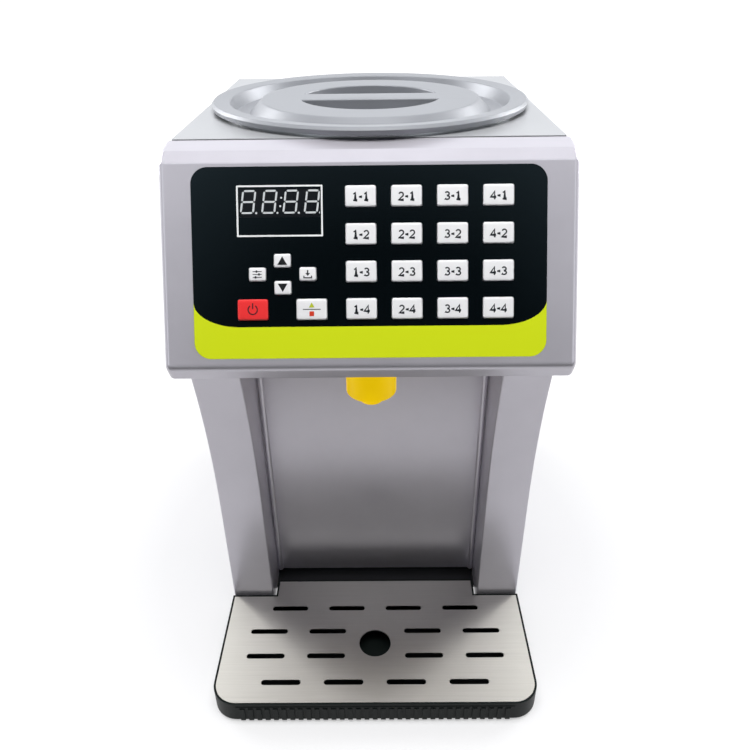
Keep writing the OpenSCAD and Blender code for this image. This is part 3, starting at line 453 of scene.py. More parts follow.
def prism(outline, bottom, top, at):
    """A flat outline, extruded from one height to another and put in place."""
    bm = bmesh.new()
    ring = [bm.verts.new((x * MM, y * MM, bottom * MM)) for x, y in outline]
    face = bm.faces.new(ring)
    grown = bmesh.ops.extrude_face_region(bm, geom=[face])
    raised = [v for v in grown["geom"] if isinstance(v, bmesh.types.BMVert)]
    bmesh.ops.translate(bm, verts=raised, vec=(0, 0, (top - bottom) * MM))
    bmesh.ops.recalc_face_normals(bm, faces=bm.faces)
    bm.transform(at)
    return bm


def joined(parts):
    """Several bmeshes in one. The parts are used up."""
    whole = bmesh.new()
    for part in parts:
        mesh = bpy.data.meshes.new("part")
        part.to_mesh(mesh)
        part.free()
        whole.from_mesh(mesh)
        bpy.data.meshes.remove(mesh)
    return whole


def arc(x, y, rx, ry, start, end, steps):
    """Points along an ellipse's arc, from one angle to another in degrees."""
    turns = [radians(start + (end - start) * i / steps) for i in range(steps + 1)]
    return [(x + rx * cos(t), y + ry * sin(t)) for t in turns]


def dot(x, y, r):
    """A small round dot's outline, with twelve points."""
    return arc(x, y, r, r, start=0, end=330, steps=11)


def round_box(x, y, w, h, r, steps=6):
    """A rectangle's outline about its middle, with round corners."""
    a, b = w / 2 - r, h / 2 - r
    return (
        arc(x + a, y + b, r, r, 0, 90, steps) + arc(x - a, y + b, r, r, 90, 180, steps)
        + arc(x - a, y - b, r, r, 180, 270, steps) + arc(x + a, y - b, r, r, 270, 360, steps)
    )


def filleted(corners, steps=5):
    """An open line through corners (x, y, radius), each rounded by an arc of its radius."""
    line = []
    for i, (x, y, radius) in enumerate(corners):
        spot = Vector((x, y))
        if not radius or i in (0, len(corners) - 1):
            line.append((x, y))
            continue
        before = (Vector(corners[i - 1][:2]) - spot).normalized()
        after = (Vector(corners[i + 1][:2]) - spot).normalized()
        half = before.angle(after) / 2
        centre = spot + (before + after).normalized() * radius / sin(half)
        start = spot + before * radius / tan(half) - centre
        turn = start.angle_signed(spot + after * radius / tan(half) - centre)
        for step in range(steps + 1):
            point = centre + Matrix.Rotation(-turn * step / steps, 2) @ start
            line.append((point.x, point.y))
    return line


def turned(profile, y, steps):
    """A closed profile of (radius, height) points, spun about a vertical axis at a Y."""
    bm = bmesh.new()
    points = [bm.verts.new((r * MM, 0, z * MM)) for r, z in profile]
    edges = [bm.edges.new(pair) for pair in zip(points, points[1:])]
    bmesh.ops.spin(
        bm, geom=points + edges, cent=(0, 0, 0), axis=(0, 0, 1), angle=2 * pi, steps=steps,
        use_merge=True,
    )
    merged(bm)
    bmesh.ops.recalc_face_normals(bm, faces=bm.faces)
    bmesh.ops.translate(bm, verts=bm.verts, vec=(0, y * MM, 0))
    return bm


def lofted(rings):
    """A skin through rings of points with as many points each, closed at both ends."""
    bm = bmesh.new()
    rows = [[bm.verts.new(Vector(p) * MM) for p in ring] for ring in rings]
    for low, high in zip(rows, rows[1:]):
        for i in range(len(low)):
            bm.faces.new((low[i - 1], low[i], high[i], high[i - 1]))
    bm.faces.new(rows[0])
    bm.faces.new(rows[-1])
    merged(bm)
    bmesh.ops.recalc_face_normals(bm, faces=bm.faces)
    return bm


# ---- The control face ----

OVERLAY_T = 0.6
FACE_TILT = radians(27.15)
overlay_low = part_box("control_overlay")[0]
FACE = (
    Matrix.Translation((0, overlay_low.y, overlay_low.z + OVERLAY_T * MM * sin(FACE_TILT)))
    @ Matrix.Rotation(radians(90) - FACE_TILT, 4, "X")
)
TO_FACE = FACE.inverted()


def face_box(name):
    """A node's lowest and highest corners on the control face, in millimetres."""
    points = [TO_FACE @ v.co / MM for v in frame["nodes"][name].data.vertices]
    return (
        Vector(min(p[i] for p in points) for i in range(3)),
        Vector(max(p[i] for p in points) for i in range(3)),
    )


overlay_lo, overlay_hi = face_box("control_overlay")
display_lo, display_hi = face_box("display_module")
KEY_NAMES = sorted(name for name in frame["nodes"] if name.startswith("key_"))
KEY_LIP = 1.2
KEY_GAP = 0.35
KEY_CORNER = 1.3


def grown_box(lo, hi, grow):
    """The middle and the size of the box between two corners, grown on every side."""
    return (
        (lo.x + hi.x) / 2, (lo.y + hi.y) / 2, hi.x - lo.x + 2 * grow, hi.y - lo.y + 2 * grow
    )


def key_area(name, grow=0):
    """A keycap's middle and size on the face: x, y, width, height."""
    lo, hi = face_box(name)
    return grown_box(lo, hi, grow - KEY_LIP)


# ---- Head ----

SHELL = 2.5
STRIP_RUN, STRIP_DROP = 15.5, 3.5
BEVEL_RUN, BEVEL_DROP = 7.9, 5.1
FACE_LEN = 122.8
CHIN_RUN, CHIN_DROP = 5.8, 10.5
SIDE_ROUND = 3.4
SIDE_STEPS = 8
FOLD_ROUNDS = (2.0, 3.0, 6, 2.6)
FOLD_STEPS = 7
SEAM_GAP = 0.5
SEAM_STEP = 0.7
FLARE = 0.0065
LEAST_FOLD = 0.4
CAVITY_REACH = 8
THROUGH = 2
SEAT_GAP = 0.1
SEAT_CORNER = 10
WINDOW_LIP = 1.1
WINDOW_CORNER = 1
PAST_FACE = 1


def head_corners():
    """The head's side view as (Y, Z) corners from the seam downwards, in millimetres. At the
    seam it lies a step under the top plate, and a narrow gap before it."""
    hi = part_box("fascia")[1]
    seam, top = hi.y / MM - SEAM_GAP, hi.z / MM
    steps = [
        (0, -SEAM_STEP), (SEAM_GAP - STRIP_RUN, SEAM_STEP - STRIP_DROP), (-BEVEL_RUN, -BEVEL_DROP),
        (-FACE_LEN * sin(FACE_TILT), -FACE_LEN * cos(FACE_TILT)), (CHIN_RUN, -CHIN_DROP),
    ]
    corners = []
    y, z = seam, top
    for dy, dz in steps:
        y, z = y + dy, z + dz
        corners.append((y, z))
    return corners + [(seam, z)]


def inset_corners(corners, depth):
    """A clockwise outline moved inwards by depth, open at its rear and lower edges."""
    inner = []
    for i in range(1, len(corners) - 1):
        before = (Vector(corners[i]) - Vector(corners[i - 1])).normalized()
        after = (Vector(corners[i + 1]) - Vector(corners[i])).normalized()
        n, m = Vector((-before.y, before.x)), Vector((-after.y, after.x))
        inner.append(Vector(corners[i]) + depth * (n + m) / (1 + n.dot(m)))
    return inner


def across(outline, half):
    """A (Y, Z) outline extruded across the machine, half millimetres to each side."""
    turn = Matrix(((0, 0, 1, 0), (1, 0, 0, 0), (0, 1, 0, 0), (0, 0, 0, 1)))
    return prism([tuple(p) for p in outline], -half, half, turn)


def side_curve():
    """How far the head's outline draws in, by the distance from its side."""
    turns = [radians(90) * (1 - i / SIDE_STEPS) for i in range(SIDE_STEPS + 1)]
    return [(SIDE_ROUND * (1 - sin(t)), SIDE_ROUND * (1 - cos(t))) for t in turns]


def head_ring(corners, x, inset):
    """The head's outline at x, drawn in by inset but for its rear, with its folds rounded."""
    rear = corners[0][0]
    inner = inset_corners(corners, inset)
    slope = (corners[1][1] - corners[0][1]) / (corners[1][0] - rear)
    line = [(rear, inner[0].y + (rear - inner[0].x) * slope, 0)]
    line += [(p.x, p.y, max(r - inset / 2, LEAST_FOLD)) for p, r in zip(inner, FOLD_ROUNDS)]
    line.append((rear, inner[3].y, 0))
    return [(x, y, z) for y, z in filleted(line, FOLD_STEPS)]


def head_blank(corners, half):
    """The head's outside, drawn in at its sides and a little narrower towards its foot."""
    rings = [head_ring(corners, -half + x, inset) for x, inset in side_curve()]
    rings += [head_ring(corners, half - x, inset) for x, inset in reversed(side_curve())]
    bm = lofted(rings)
    top, foot = corners[0][1], corners[-1][1]
    for v in bm.verts:
        v.co.x *= 1 - FLARE * (top * MM - v.co.z) / (top - foot) / MM
    return bm


def head_cavity(corners):
    """The inside of the head's side view, which runs out of its rear and its foot."""
    rear = corners[0][0] + CAVITY_REACH
    foot = corners[-1][1]
    strip, bevel, face, chin = inset_corners(corners, SHELL)
    rise = (rear - strip.x) * STRIP_DROP / STRIP_RUN
    return [
        (rear, strip.y + rise), strip, bevel, face, (chin.x, chin.y - CAVITY_REACH),
        (rear, foot - CAVITY_REACH),
    ]


def make_fascia():
    """The head's moulded shell: soft side edges, crisp folds, and openings for the overlay and keys."""
    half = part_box("fascia")[1].x / MM
    corners = head_corners()
    bm = cut(head_blank(corners, half), across(head_cavity(corners), half - SHELL))
    seat = round_box(*grown_box(overlay_lo, overlay_hi, SEAT_GAP), SEAT_CORNER, steps=12)
    bm = cut(bm, prism(seat, -OVERLAY_T, THROUGH, FACE))
    openings = [round_box(*key_area(name, KEY_GAP), KEY_CORNER) for name in KEY_NAMES]
    openings.append(round_box(*grown_box(display_lo, display_hi, -WINDOW_LIP), WINDOW_CORNER))
    holes = [prism(opening, -SHELL - THROUGH, PAST_FACE, FACE) for opening in openings]
    bm = cut(bm, joined(holes))
    piece("fascia_shell", bm, CABINET, "body_abs", replaces=["fascia"], crease=28)


make_fascia()

# ---- Overlay ----

BAND_TOP = 19
BAND_RISE = 15
BAND_CURVE = 28
BAND_STEPS = 24
PAST_EDGE = 5
PAST_FILM = 3


def make_overlay():
    """The printed film in its two colours: black above, and a lime band that climbs both sides."""
    half = (overlay_hi.x - overlay_lo.x) / 2
    far, high = half + PAST_EDGE, overlay_hi.y + PAST_EDGE
    flat, low = half - BAND_CURVE, BAND_TOP + BAND_RISE
    dark = (
        arc(-flat, low, BAND_CURVE, BAND_RISE, 180, 270, BAND_STEPS)
        + arc(flat, low, BAND_CURVE, BAND_RISE, 270, 360, BAND_STEPS)
        + [(far, low), (far, high), (-far, high), (-far, low)]
    )
    upper, lower = (prism(dark, -PAST_FILM, PAST_FILM, FACE) for _ in range(2))
    black = cut(copied("control_overlay"), upper, "INTERSECT")
    lime = cut(copied("control_overlay"), lower)
    piece("overlay_black", black, CABINET, "overlay_film", replaces=["control_overlay"])
    piece("overlay_lime", lime, CABINET, "overlay_film", [LIME_FILM], replaces=["control_overlay"])


make_overlay()

# ---- Display ----

FRAME_LO, FRAME_HI = Vector((-78.9, 72.8)), Vector((-27.5, 103.1))
FRAME_LINE = 1.0
FRAME_CORNER = 0.4
PRINT_T = 0.04
DIGIT_PITCH = 12.7
DIGIT_H = 12.9
DIGIT_W = 7.3
DIGIT_X, DIGIT_Y = -76.4, 86.9
SEGMENT_T = 1.1
SEGMENT_GAP = 0.35
SLANT = tan(radians(7.5))
POINT_X, POINT_Y, POINT_R = 1.9, -0.1, 0.65
COLON_X, COLON_R = 0.4, 0.6
COLON_RISES = (0.3, 0.68)


def make_display_frame():
    """The white line printed round the display."""
    outer = round_box(*grown_box(FRAME_LO, FRAME_HI, 0), FRAME_CORNER, steps=2)
    inner = round_box(*grown_box(FRAME_LO, FRAME_HI, -FRAME_LINE), FRAME_CORNER / 2, steps=2)
    line = cut(prism(outer, 0, PRINT_T, FACE), prism(inner, -PAST_FACE, PAST_FACE, FACE))
    piece("display_frame", line, CABINET, "overlay_film", [WHITE_INK])


def bar(x0, y0, x1, y1):
    """A segment's outline from one end to the other, pointed at both ends."""
    along = Vector((x1 - x0, y1 - y0)).normalized()
    side = Vector((-along.y, along.x)) * SEGMENT_T / 2
    start, end = Vector((x0, y0)) + along * SEGMENT_GAP, Vector((x1, y1)) - along * SEGMENT_GAP
    tip = along * SEGMENT_T / 2
    points = [start, start + tip + side, end - tip + side, end, end - tip - side, start + tip - side]
    return [(p.x + (p.y - DIGIT_Y) * SLANT, p.y) for p in reversed(points)]


def make_segments():
    """Four unlit seven-segment digits with their decimal points and a colon."""
    low, mid, high = (DIGIT_Y + i * DIGIT_H / 2 for i in range(3))
    outlines = []
    for digit in range(4):
        left = DIGIT_X + digit * DIGIT_PITCH
        right = left + DIGIT_W
        outlines += [bar(left, y, right, y) for y in (low, mid, high)]
        for x in (left, right):
            outlines += [bar(x, low, x, mid), bar(x, mid, x, high)]
        outlines.append(dot(right + POINT_X, low + POINT_Y, POINT_R))
    colon_x = DIGIT_X + 1.5 * DIGIT_PITCH + DIGIT_W / 2 + COLON_X
    for rise in COLON_RISES:
        up = rise * DIGIT_H
        outlines.append(dot(colon_x + up * SLANT, DIGIT_Y + up, COLON_R))
    top = display_hi.z
    segments = joined([prism(outline, top, top + PRINT_T, FACE) for outline in outlines])
    piece("display_segments", segments, CABINET, "display_black", [UNLIT_SEGMENT])


make_display_frame()
make_segments()

# ---- Keys ----

# The cap's profile: how far in from its side, and how high over the plain cap's top
KEY_DOME = [(0.1, -0.42), (0.25, -0.2), (0.5, -0.06), (0.85, 0), (2.4, 0.12)]
DOME_FOOT = 0.1
LEAST_CORNER = 0.2
MARK_LIFT = 0.02
STROKE = 0.82
LEAST_MITRE = 0.5
# The strokes of each number, about its middle
DIGIT_STROKES = {
    "1": [[(-1.0, 1.4), (0.1, 2.2), (0.1, -2.2)], [(-1.1, -2.2), (1.3, -2.2)]],
    "2": [arc(0, 0.9, 1.3, 1.3, 160, -35, 10) + [(-1.4, -2.2), (1.5, -2.2)]],
    "3": [arc(-0.1, 1.1, 1.2, 1.1, 150, -90, 9) + arc(-0.1, -1.1, 1.4, 1.1, 90, -150, 9)],
    "4": [[(0.7, -2.5), (0.7, 2.2), (-1.6, -1.0), (1.6, -1.0)]],
}
DASH = [(-0.9, -0.2), (0.9, -0.2)]
LABEL_STEP = 3.25
LABEL_DROP = 0.4


def ribbon(points, x, y):
    """The outline of a stroke along points, moved by x and y, with square ends."""
    spots = [Vector(p) for p in points]
    sides = ([], [])
    for i, spot in enumerate(spots):
        before = (spot - spots[max(i - 1, 0)]) or (spots[1] - spot)
        after = (spots[min(i + 1, len(spots) - 1)] - spot) or before
        along = before.normalized() + after.normalized()
        across_it = Vector((-along.y, along.x)).normalized()
        square = Vector((-after.y, after.x)).normalized()
        reach = STROKE / 2 / max(LEAST_MITRE, across_it.dot(square))
        for side, way in zip(sides, (1, -1)):
            point = spot + way * reach * across_it
            side.append((point.x + x, point.y + y))
    return sides[1] + sides[0][::-1]


def label_shapes(first, second):
    """A key's two numbers with a dash between them, as strokes."""
    shapes = [ribbon(stroke, -LABEL_STEP, 0) for stroke in DIGIT_STROKES[first]]
    shapes.append(ribbon(DASH, 0, 0))
    return shapes + [ribbon(stroke, LABEL_STEP, 0) for stroke in DIGIT_STROKES[second]]


def mark(outlines, x, y, z):
    """Flat shapes printed on a key, about its middle."""
    return joined([
        prism([(x + px, y + py) for px, py in outline], z, z + PRINT_T, FACE) for outline in outlines
    ])


def triangle(width, height, y, way=1):
    """A triangle about a height that points up, or down where way is -1."""
    foot, tip = y - way * height / 2, y + way * height / 2
    points = [(-width / 2, foot), (width / 2, foot), (0, tip)]
    return points if way > 0 else points[::-1]


def box_shape(x, y, w, h):
    """A rectangle about a point."""
    left, right, low, high = x - w / 2, x + w / 2, y - h / 2, y + h / 2
    return [(left, low), (right, low), (right, high), (left, high)]


def power_shape(radius, line):
    """The usual power sign: an open ring and a bar through its gap."""
    start, end, steps = 125, 415, 30
    outer = arc(0, 0, radius, radius, start, end, steps)
    inner = arc(0, 0, radius - line, radius - line, end, start, steps)
    return [outer + inner, box_shape(0, radius * 0.7, line, radius * 1.1)]


def slider_shape():
    """Three sliders with their knobs, for the setting key."""
    shapes = []
    for y, knob_x in ((-1.7, -1.0), (0, 1.1), (1.7, -0.4)):
        shapes += [box_shape(0, y, 5.4, 0.4), box_shape(knob_x, y, 0.9, 1.3)]
    return shapes


def store_shape():
    """An arrow into a tray, for the store key."""
    arrow = [box_shape(0, 1.4, 0.8, 1.8), triangle(2.8, 1.7, -0.3, -1)]
    tray = [box_shape(0, -2.2, 5.2, 0.6)] + [box_shape(x, -1.5, 0.6, 0.9) for x in (-2.3, 2.3)]
    return arrow + tray


SIGNS = {
    "key_up": [("print_up", [triangle(5.8, 4.9, 0)], BLACK_INK)],
    "key_down": [("print_down", [triangle(5.8, 4.9, 0, -1)], BLACK_INK)],
    "key_set": [("print_set", slider_shape(), DARK_INK)],
    "key_store": [("print_store", store_shape(), DARK_INK)],
    "key_power": [("print_power", power_shape(3.1, 0.7), DARK_INK)],
    "key_run_stop": [
        ("print_run", [triangle(3.4, 3.0, 2.6)], GREEN_INK),
        ("print_line", [box_shape(0, 0, 10.6, 0.45)], DARK_INK),
        ("print_stop", [box_shape(0, -2.6, 2.8, 2.8)], RED_INK),
    ],
}


def make_key(name):
    """One key: its flange and stem as they are, under a cap with a rounded edge and a slight
    crown. Returns the crown's height on the face."""
    bm = copied(name)
    bm.transform(TO_FACE)
    top = max(v.co.z for v in bm.verts) / MM
    low = top + KEY_DOME[0][1] - DOME_FOOT
    bmesh.ops.bisect_plane(
        bm, geom=bm.verts[:] + bm.edges[:] + bm.faces[:], plane_co=(0, 0, low * MM),
        plane_no=(0, 0, 1), clear_outer=True,
    )
    x, y, w, h = key_area(name)
    a, b = w / 2 - KEY_CORNER, h / 2 - KEY_CORNER
    for inset, rise in KEY_DOME:
        grown = bmesh.ops.extrude_edge_only(bm, edges=[e for e in bm.edges if e.is_boundary])
        shrink = max(inset - KEY_CORNER + LEAST_CORNER, 0)
        corner = max(KEY_CORNER - inset, LEAST_CORNER)
        for v in grown["geom"]:
            if isinstance(v, bmesh.types.BMVert):
                p = v.co / MM - Vector((x, y, 0))
                core = Vector((max(-a, min(a, p.x)), max(-b, min(b, p.y)), 0))
                way = Vector((p.x, p.y, 0)) - core
                core -= Vector((shrink * core.x / a, shrink * core.y / b, 0))
                v.co = (core + way.normalized() * corner + Vector((x, y, top + rise))) * MM
    bmesh.ops.edgeloop_fill(bm, edges=[e for e in bm.edges if e.is_boundary])
    merged(bm)
    bmesh.ops.recalc_face_normals(bm, faces=bm.faces)
    bm.transform(FACE)
    cap = name.replace("key_", "keycap_")
    piece(cap, bm, BODY_OF[name], SLOT_OF[name], replaces=[name], crease=40)
    return top + KEY_DOME[-1][1]


def make_keys():
    """All keys and what is printed on them."""
    for name in KEY_NAMES:
        top = make_key(name) + MARK_LIFT
        x, y = key_area(name)[:2]
        if name in SIGNS:
            prints = SIGNS[name]
        else:
            y -= LABEL_DROP
            label = label_shapes(*name.split("_")[1:])
            prints = [(name.replace("key_", "print_"), label, DARK_INK)]
        for print_name, shapes, colour in prints:
            printed = mark(shapes, x, y, top)
            piece(print_name, printed, BODY_OF[name], SLOT_OF[name], [colour])


make_keys()

# ---- Cabinet ----

PILLAR_FRONT = -60
PILLAR_TOP_GAP = 1
SIDEWAYS = 0.01
SEAM_REACH = 1
LEAST_BEND = radians(40)


def make_soft_copy(name, new_name, radius, wanted, steps=3):
    """A CAD node with its wanted sharp edges rounded to a radius in millimetres."""
    bm = copied(name)
    edges = [
        e for e in bm.edges
        if len(e.link_faces) == 2 and e.calc_face_angle(0) > LEAST_BEND and wanted(e)
    ]
    bmesh.ops.bevel(
        bm, geom=edges, offset=radius * MM, offset_type="OFFSET", affect="EDGES", segments=steps,
        profile=0.5, material=-1, clamp_overlap=True,
    )
    piece(new_name, bm, BODY_OF[name], SLOT_OF[name], replaces=[name])


def pillar_front(edge):
    """True for the long edges of a pillar's front face."""
    spot = middle(edge)
    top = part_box("left_pillar")[1].z / MM
    upright = abs(span(edge).x) < SIDEWAYS
    return upright and spot.y < PILLAR_FRONT and spot.z < top - PILLAR_TOP_GAP


def top_plate_front(edge):
    """True for the edges of the top plate's front, beside the seam."""
    return abs(middle(edge).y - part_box("top_plate")[0].y / MM) < SEAM_REACH


for side_name in ("left", "right"):
    make_soft_copy(f"{side_name}_pillar", f"{side_name}_pillar_moulding", 1.4, pillar_front)
make_soft_copy("top_plate", "top_plate_sheet", 0.25, top_plate_front)

# ---- Lid ----

LID_T = 2.5
LID_PROFILE = [
    # The raised middle, the groove and the rim from above: radius, height, rounding
    (0, -1, 0), (80.4, -1, 2.5), (89.5, -10, 1.5), (100, -10, 1.2), (103, -1, 1.2),
    (114.3, 0, 0.9), (116.3, -2, 0.7), (115.3, -5, 0.5), (113.8, -5, 0.4),
    # The underside with its collar
    (113.8, -2.7, 0), (109, -3.5, 0), (109, -5.5, 0), (105.5, -5.5, 0), (105.5, -3.5, 0),
    (103.3, -3.5, 0), (102.1, -12.5, 0), (87.2, -12.5, 0), (77.9, -3.5, 0), (0, -3.5, 0),
]
HAT_DROP = 1
BOWL_OVERLAP = 1
POCKET_R = 51.5
POCKET_H = 14
POCKET_STEPS = 32
GRIP_W = 25
POCKET_RIM = 1.0
POCKET_FOOT = 0.3
RIM_STEPS = 4
LID_STEPS = 160


def pocket_ring(side, grow, z):
    """A finger pocket's outline at a height: part of a disc beside the grip."""
    reach = POCKET_R + grow
    start = degrees(asin((GRIP_W / 2 - grow) / reach))
    return [(px, side * py, z) for px, py in arc(0, 0, reach, reach, start, 180 - start, POCKET_STEPS)]


def make_lid():
    """The lid, with soft rims round its ring, its raised centre and its two finger pockets."""
    lo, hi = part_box("lid")
    centre_y, top = (lo.y + hi.y) / 2, hi.z / MM
    bm = turned([(r, top + z) for r, z in filleted(LID_PROFILE)], 0, LID_STEPS)
    hat = top - HAT_DROP
    floor = hat - POCKET_H
    for side in (-1, 1):
        bowl = [pocket_ring(side, LID_T, z) for z in (floor - LID_T, hat - BOWL_OVERLAP)]
        bm = cut(bm, lofted(bowl), "UNION")
    for side in (-1, 1):
        rings = [
            pocket_ring(side, -POCKET_RIM, floor),
            pocket_ring(side, -POCKET_FOOT, floor + POCKET_FOOT),
            pocket_ring(side, 0, floor + POCKET_RIM),
        ]
        for step in range(RIM_STEPS + 1):
            turn = radians(90 * step / RIM_STEPS)
            flare = POCKET_RIM * (1 - cos(turn))
            rings.append(pocket_ring(side, flare, hat - POCKET_RIM + POCKET_RIM * sin(turn)))
        rings.append(pocket_ring(side, POCKET_RIM, hat + POCKET_RIM))
        bm = cut(bm, lofted(rings))
    bmesh.ops.translate(bm, verts=bm.verts, vec=(0, centre_y, 0))
    piece("lid_moulding", bm, "lid", "lid_plastic", replaces=["lid"], crease=35)


make_lid()

# ---- Nozzle ----

BARREL_R = 16.5
TIP_R = 7.7
TIP_H = 2.6
CONE_H = 5.3
BORE_R = 3.501
NECK_R = 9
HEAD_GAP = 0.2
NOZZLE_STEPS = 96


def make_nozzle():
    """The nozzle: a barrel, a blunt cone and a short tip, all with softly moulded edges."""
    lo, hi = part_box("nozzle")
    low, top = lo.z / MM, hi.z / MM
    barrel_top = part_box("fascia")[0].z / MM - HEAD_GAP
    profile = filleted([
        (BORE_R, top, 0), (BORE_R, low, 0.5), (TIP_R, low, 0.9), (TIP_R, low + TIP_H, 0.5),
        (BARREL_R, low + TIP_H + CONE_H, 1.2), (BARREL_R, barrel_top, 0), (NECK_R, barrel_top, 0),
        (NECK_R, top, 0), (BORE_R, top, 0),
    ])
    bm = turned(profile, (lo.y + hi.y) / 2 / MM, NOZZLE_STEPS)
    piece("nozzle_moulding", bm, CABINET, "yellow_plastic", replaces=["nozzle"], crease=35)


make_nozzle()

# ---- Drip tray ----

TRAY_FOOT = 4
GRILLE_TOP = 19


def tray_edge(edge):
    """True for the tray's edges above its foot."""
    return middle(edge).z > TRAY_FOOT


def grille_edge(edge):
    """True for the edges of the grille's upper face and of its slots."""
    return middle(edge).z > GRILLE_TOP


make_soft_copy("drip_tray", "drip_tray_moulding", 0.4, tray_edge, steps=2)
make_soft_copy("drip_grille", "drip_grille_sheet", 0.35, grille_edge, steps=2)

# ---- Stage ----

# Metres, and strengths at which 1 is white
FLOOR_REACH = 6
FLOOR_ROUGHNESS = 0.8
FLOOR_TINTS = ("#a4a4a6", "#d8d8da")
FLOOR_GLOW = 1.2
DARK_Y, BRIGHT_Y = -0.55, -0.3
DARK_GLOW = 0.03
SHADOW_NEAR, SHADOW_FAR = 0.2, 0.5
SHADOW_SHARE = 0.38
DARK_RISE = radians(20)
GLOSS_PEAK = 1.6
GLOSS_STOPS = [
    # By how far a way turns to the front: position, strength
    (0, 1.1), (0.05, 1.2), (0.3, 0.6), (0.58, 0.6), (0.72, 1.6), (0.84, 1.5), (0.92, 0.4),
    (0.97, 0.02),
]
ROOM_LEVEL = 0.38
ROOM_DARK, ROOM_BRIGHT = 0.7, -0.3
WHITE_LEVEL = 1.1


def seen_rays(tree):
    """The node that tells rays apart, and 1 for each ray that looks at the room: the camera's,
    and those seen in gloss or through something."""
    path = add(tree, "ShaderNodeLightPath")
    seen = path.outputs["Is Camera Ray"]
    for kind in ("Is Glossy Ray", "Is Transmission Ray"):
        most = add(tree, "ShaderNodeMath", {0: seen, 1: path.outputs[kind]}, operation="MAXIMUM")
        seen = most.outputs[0]
    return path, seen


def make_floor():
    """A white floor that keeps the object's soft shadow. In gloss it is dark far in front."""
    bm = bmesh.new()
    bmesh.ops.create_grid(bm, x_segments=1, y_segments=1, size=FLOOR_REACH)
    mesh = bpy.data.meshes.new("floor")
    bm.to_mesh(mesh)
    bm.free()
    floor = bpy.data.objects.new("floor", mesh)
    bpy.context.collection.objects.link(floor)
    material = bpy.data.materials.new("white_floor")
    material.use_nodes = True
    tree = material.node_tree
    paper = tree.nodes["Principled BSDF"]
    paper.inputs["Roughness"].default_value = FLOOR_ROUGHNESS
    path, seen = seen_rays(tree)
    shade = add(tree, "ShaderNodeMix", {"Factor": seen}, data_type="RGBA")
    shade.inputs["A"].default_value = linear(FLOOR_TINTS[0])
    shade.inputs["B"].default_value = linear(FLOOR_TINTS[1])
    tree.links.new(shade.outputs["Result"], paper.inputs["Base Color"])
    place = add(tree, "ShaderNodeTexCoord").outputs["Object"]
    along = add(tree, "ShaderNodeSeparateXYZ", {"Vector": place})
    front = add(tree, "ShaderNodeMapRange", {
        "Value": along.outputs["Y"], "From Min": DARK_Y, "From Max": BRIGHT_Y,
        "To Min": DARK_GLOW, "To Max": FLOOR_GLOW,
    })
    direct = add(tree, "ShaderNodeMath", {
        0: path.outputs["Is Camera Ray"], 1: FLOOR_GLOW
    }, operation="MULTIPLY")
    bright = add(tree, "ShaderNodeMath", {
        0: direct.outputs[0], 1: front.outputs["Result"]
    }, operation="MAXIMUM")
    glow = add(tree, "ShaderNodeEmission", {"Color": (1, 1, 1, 1), "Strength": bright.outputs[0]})
    away = add(tree, "ShaderNodeVectorMath", {0: place}, operation="LENGTH")
    plain = add(tree, "ShaderNodeMapRange", {
        "Value": away.outputs["Value"], "From Min": SHADOW_NEAR, "From Max": SHADOW_FAR,
        "To Min": SHADOW_SHARE, "To Max": 1.0,
    })
    share = add(tree, "ShaderNodeMath", {0: seen, 1: plain.outputs["Result"]}, operation="MULTIPLY")
    mixed = add(tree, "ShaderNodeMixShader", {
        0: share.outputs[0], 1: paper.outputs[0], 2: glow.outputs[0]
    })
    tree.links.new(mixed.outputs[0], tree.nodes["Material Output"].inputs["Surface"])
    mesh.materials.append(material)


def make_lamp(name, place, aim, width, height, power, glossy=True):
    """A soft box at a place, turned to a point, in metres and watts."""
    data = bpy.data.lights.new(name, "AREA")
    data.shape = "RECTANGLE"
    data.size = width
    data.size_y = height
    data.energy = power
    lamp = bpy.data.objects.new(name, data)
    way = (Vector(aim) - Vector(place)).to_track_quat("-Z", "Y")
    lamp.matrix_world = Matrix.Translation(place) @ way.to_matrix().to_4x4()
    lamp.visible_glossy = glossy
    bpy.context.collection.objects.link(lamp)


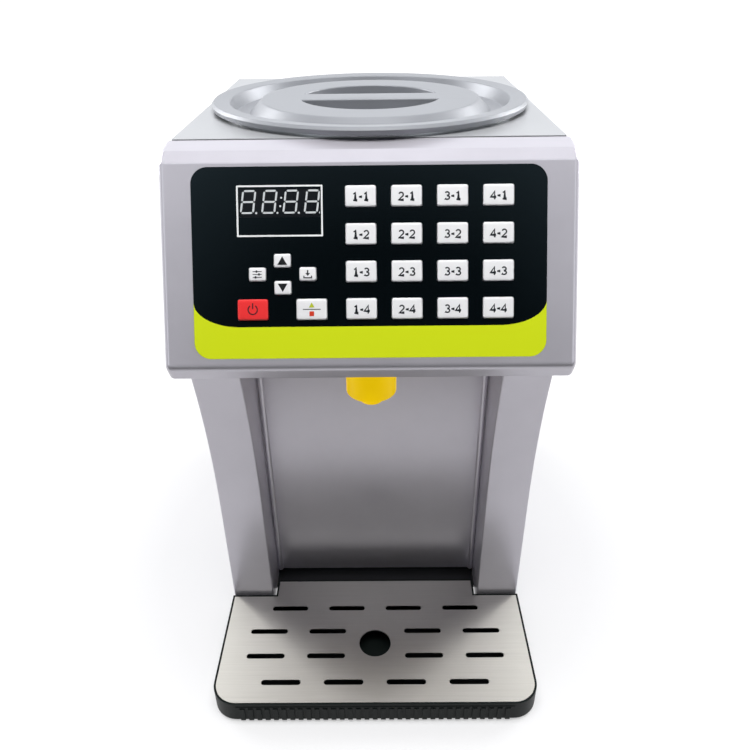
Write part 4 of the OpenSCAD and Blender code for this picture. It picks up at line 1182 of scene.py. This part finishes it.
def room_gloss(tree, facing):
    """How bright the room is in gloss: light and dark bands, and nearly black to the front."""
    ramp = add(tree, "ShaderNodeValToRGB", {"Fac": facing})
    stops = ramp.color_ramp.elements
    while len(stops) < len(GLOSS_STOPS):
        stops.new(1.0)
    for stop, (spot, strength) in zip(stops, GLOSS_STOPS):
        grey = strength / GLOSS_PEAK
        stop.position = spot
        stop.color = (grey, grey, grey, 1)
    level = add(tree, "ShaderNodeMath", {
        0: ramp.outputs["Color"], 1: GLOSS_PEAK
    }, operation="MULTIPLY")
    return level.outputs[0]


def make_world():
    """A white room whose front is dark, as behind a photographer, and white to the camera."""
    world = bpy.data.worlds.new("studio")
    bpy.context.scene.world = world
    world.use_nodes = True
    tree = world.node_tree
    tree.nodes.clear()
    path, seen = seen_rays(tree)
    way = add(tree, "ShaderNodeTexCoord").outputs["Generated"]
    front = Vector((0, -cos(DARK_RISE), sin(DARK_RISE)))
    turn = add(tree, "ShaderNodeVectorMath", {0: way, 1: front}, operation="DOT_PRODUCT")
    facing = turn.outputs["Value"]
    mirrored = add(tree, "ShaderNodeBackground", {
        "Color": linear("#eceff3"), "Strength": room_gloss(tree, facing)
    })
    behind = add(tree, "ShaderNodeMapRange", {
        "Value": facing, "From Min": ROOM_DARK, "From Max": ROOM_BRIGHT,
        "To Min": 0.0, "To Max": ROOM_LEVEL,
    })
    soft = add(tree, "ShaderNodeBackground", {
        "Color": linear("#f4f6fa"), "Strength": behind.outputs["Result"]
    })
    white = add(tree, "ShaderNodeBackground", {"Color": (1, 1, 1, 1), "Strength": WHITE_LEVEL})
    glossy = add(tree, "ShaderNodeMixShader", {0: seen, 1: soft.outputs[0], 2: mirrored.outputs[0]})
    direct = add(tree, "ShaderNodeMath", {
        0: path.outputs["Is Camera Ray"], 1: path.outputs["Is Transmission Ray"]
    }, operation="MAXIMUM")
    mixed = add(tree, "ShaderNodeMixShader", {
        0: direct.outputs[0], 1: glossy.outputs[0], 2: white.outputs[0]
    })
    add(tree, "ShaderNodeOutputWorld", {"Surface": mixed.outputs[0]})


make_floor()
make_world()
make_lamp(
    "top_soft_box", place=(0, -0.3, 1.75), aim=(0, -0.05, 0.25), width=1.3, height=0.9, power=33,
    glossy=False,
)
for lamp_name, side in (("left_soft_box", -1), ("right_soft_box", 1)):
    make_lamp(
        lamp_name, place=(side * 1.5, 0.9, 0.9), aim=(0, 0, 0.2), width=0.8, height=1.0, power=18
    )

bpy.context.scene.view_settings.view_transform = "Standard"
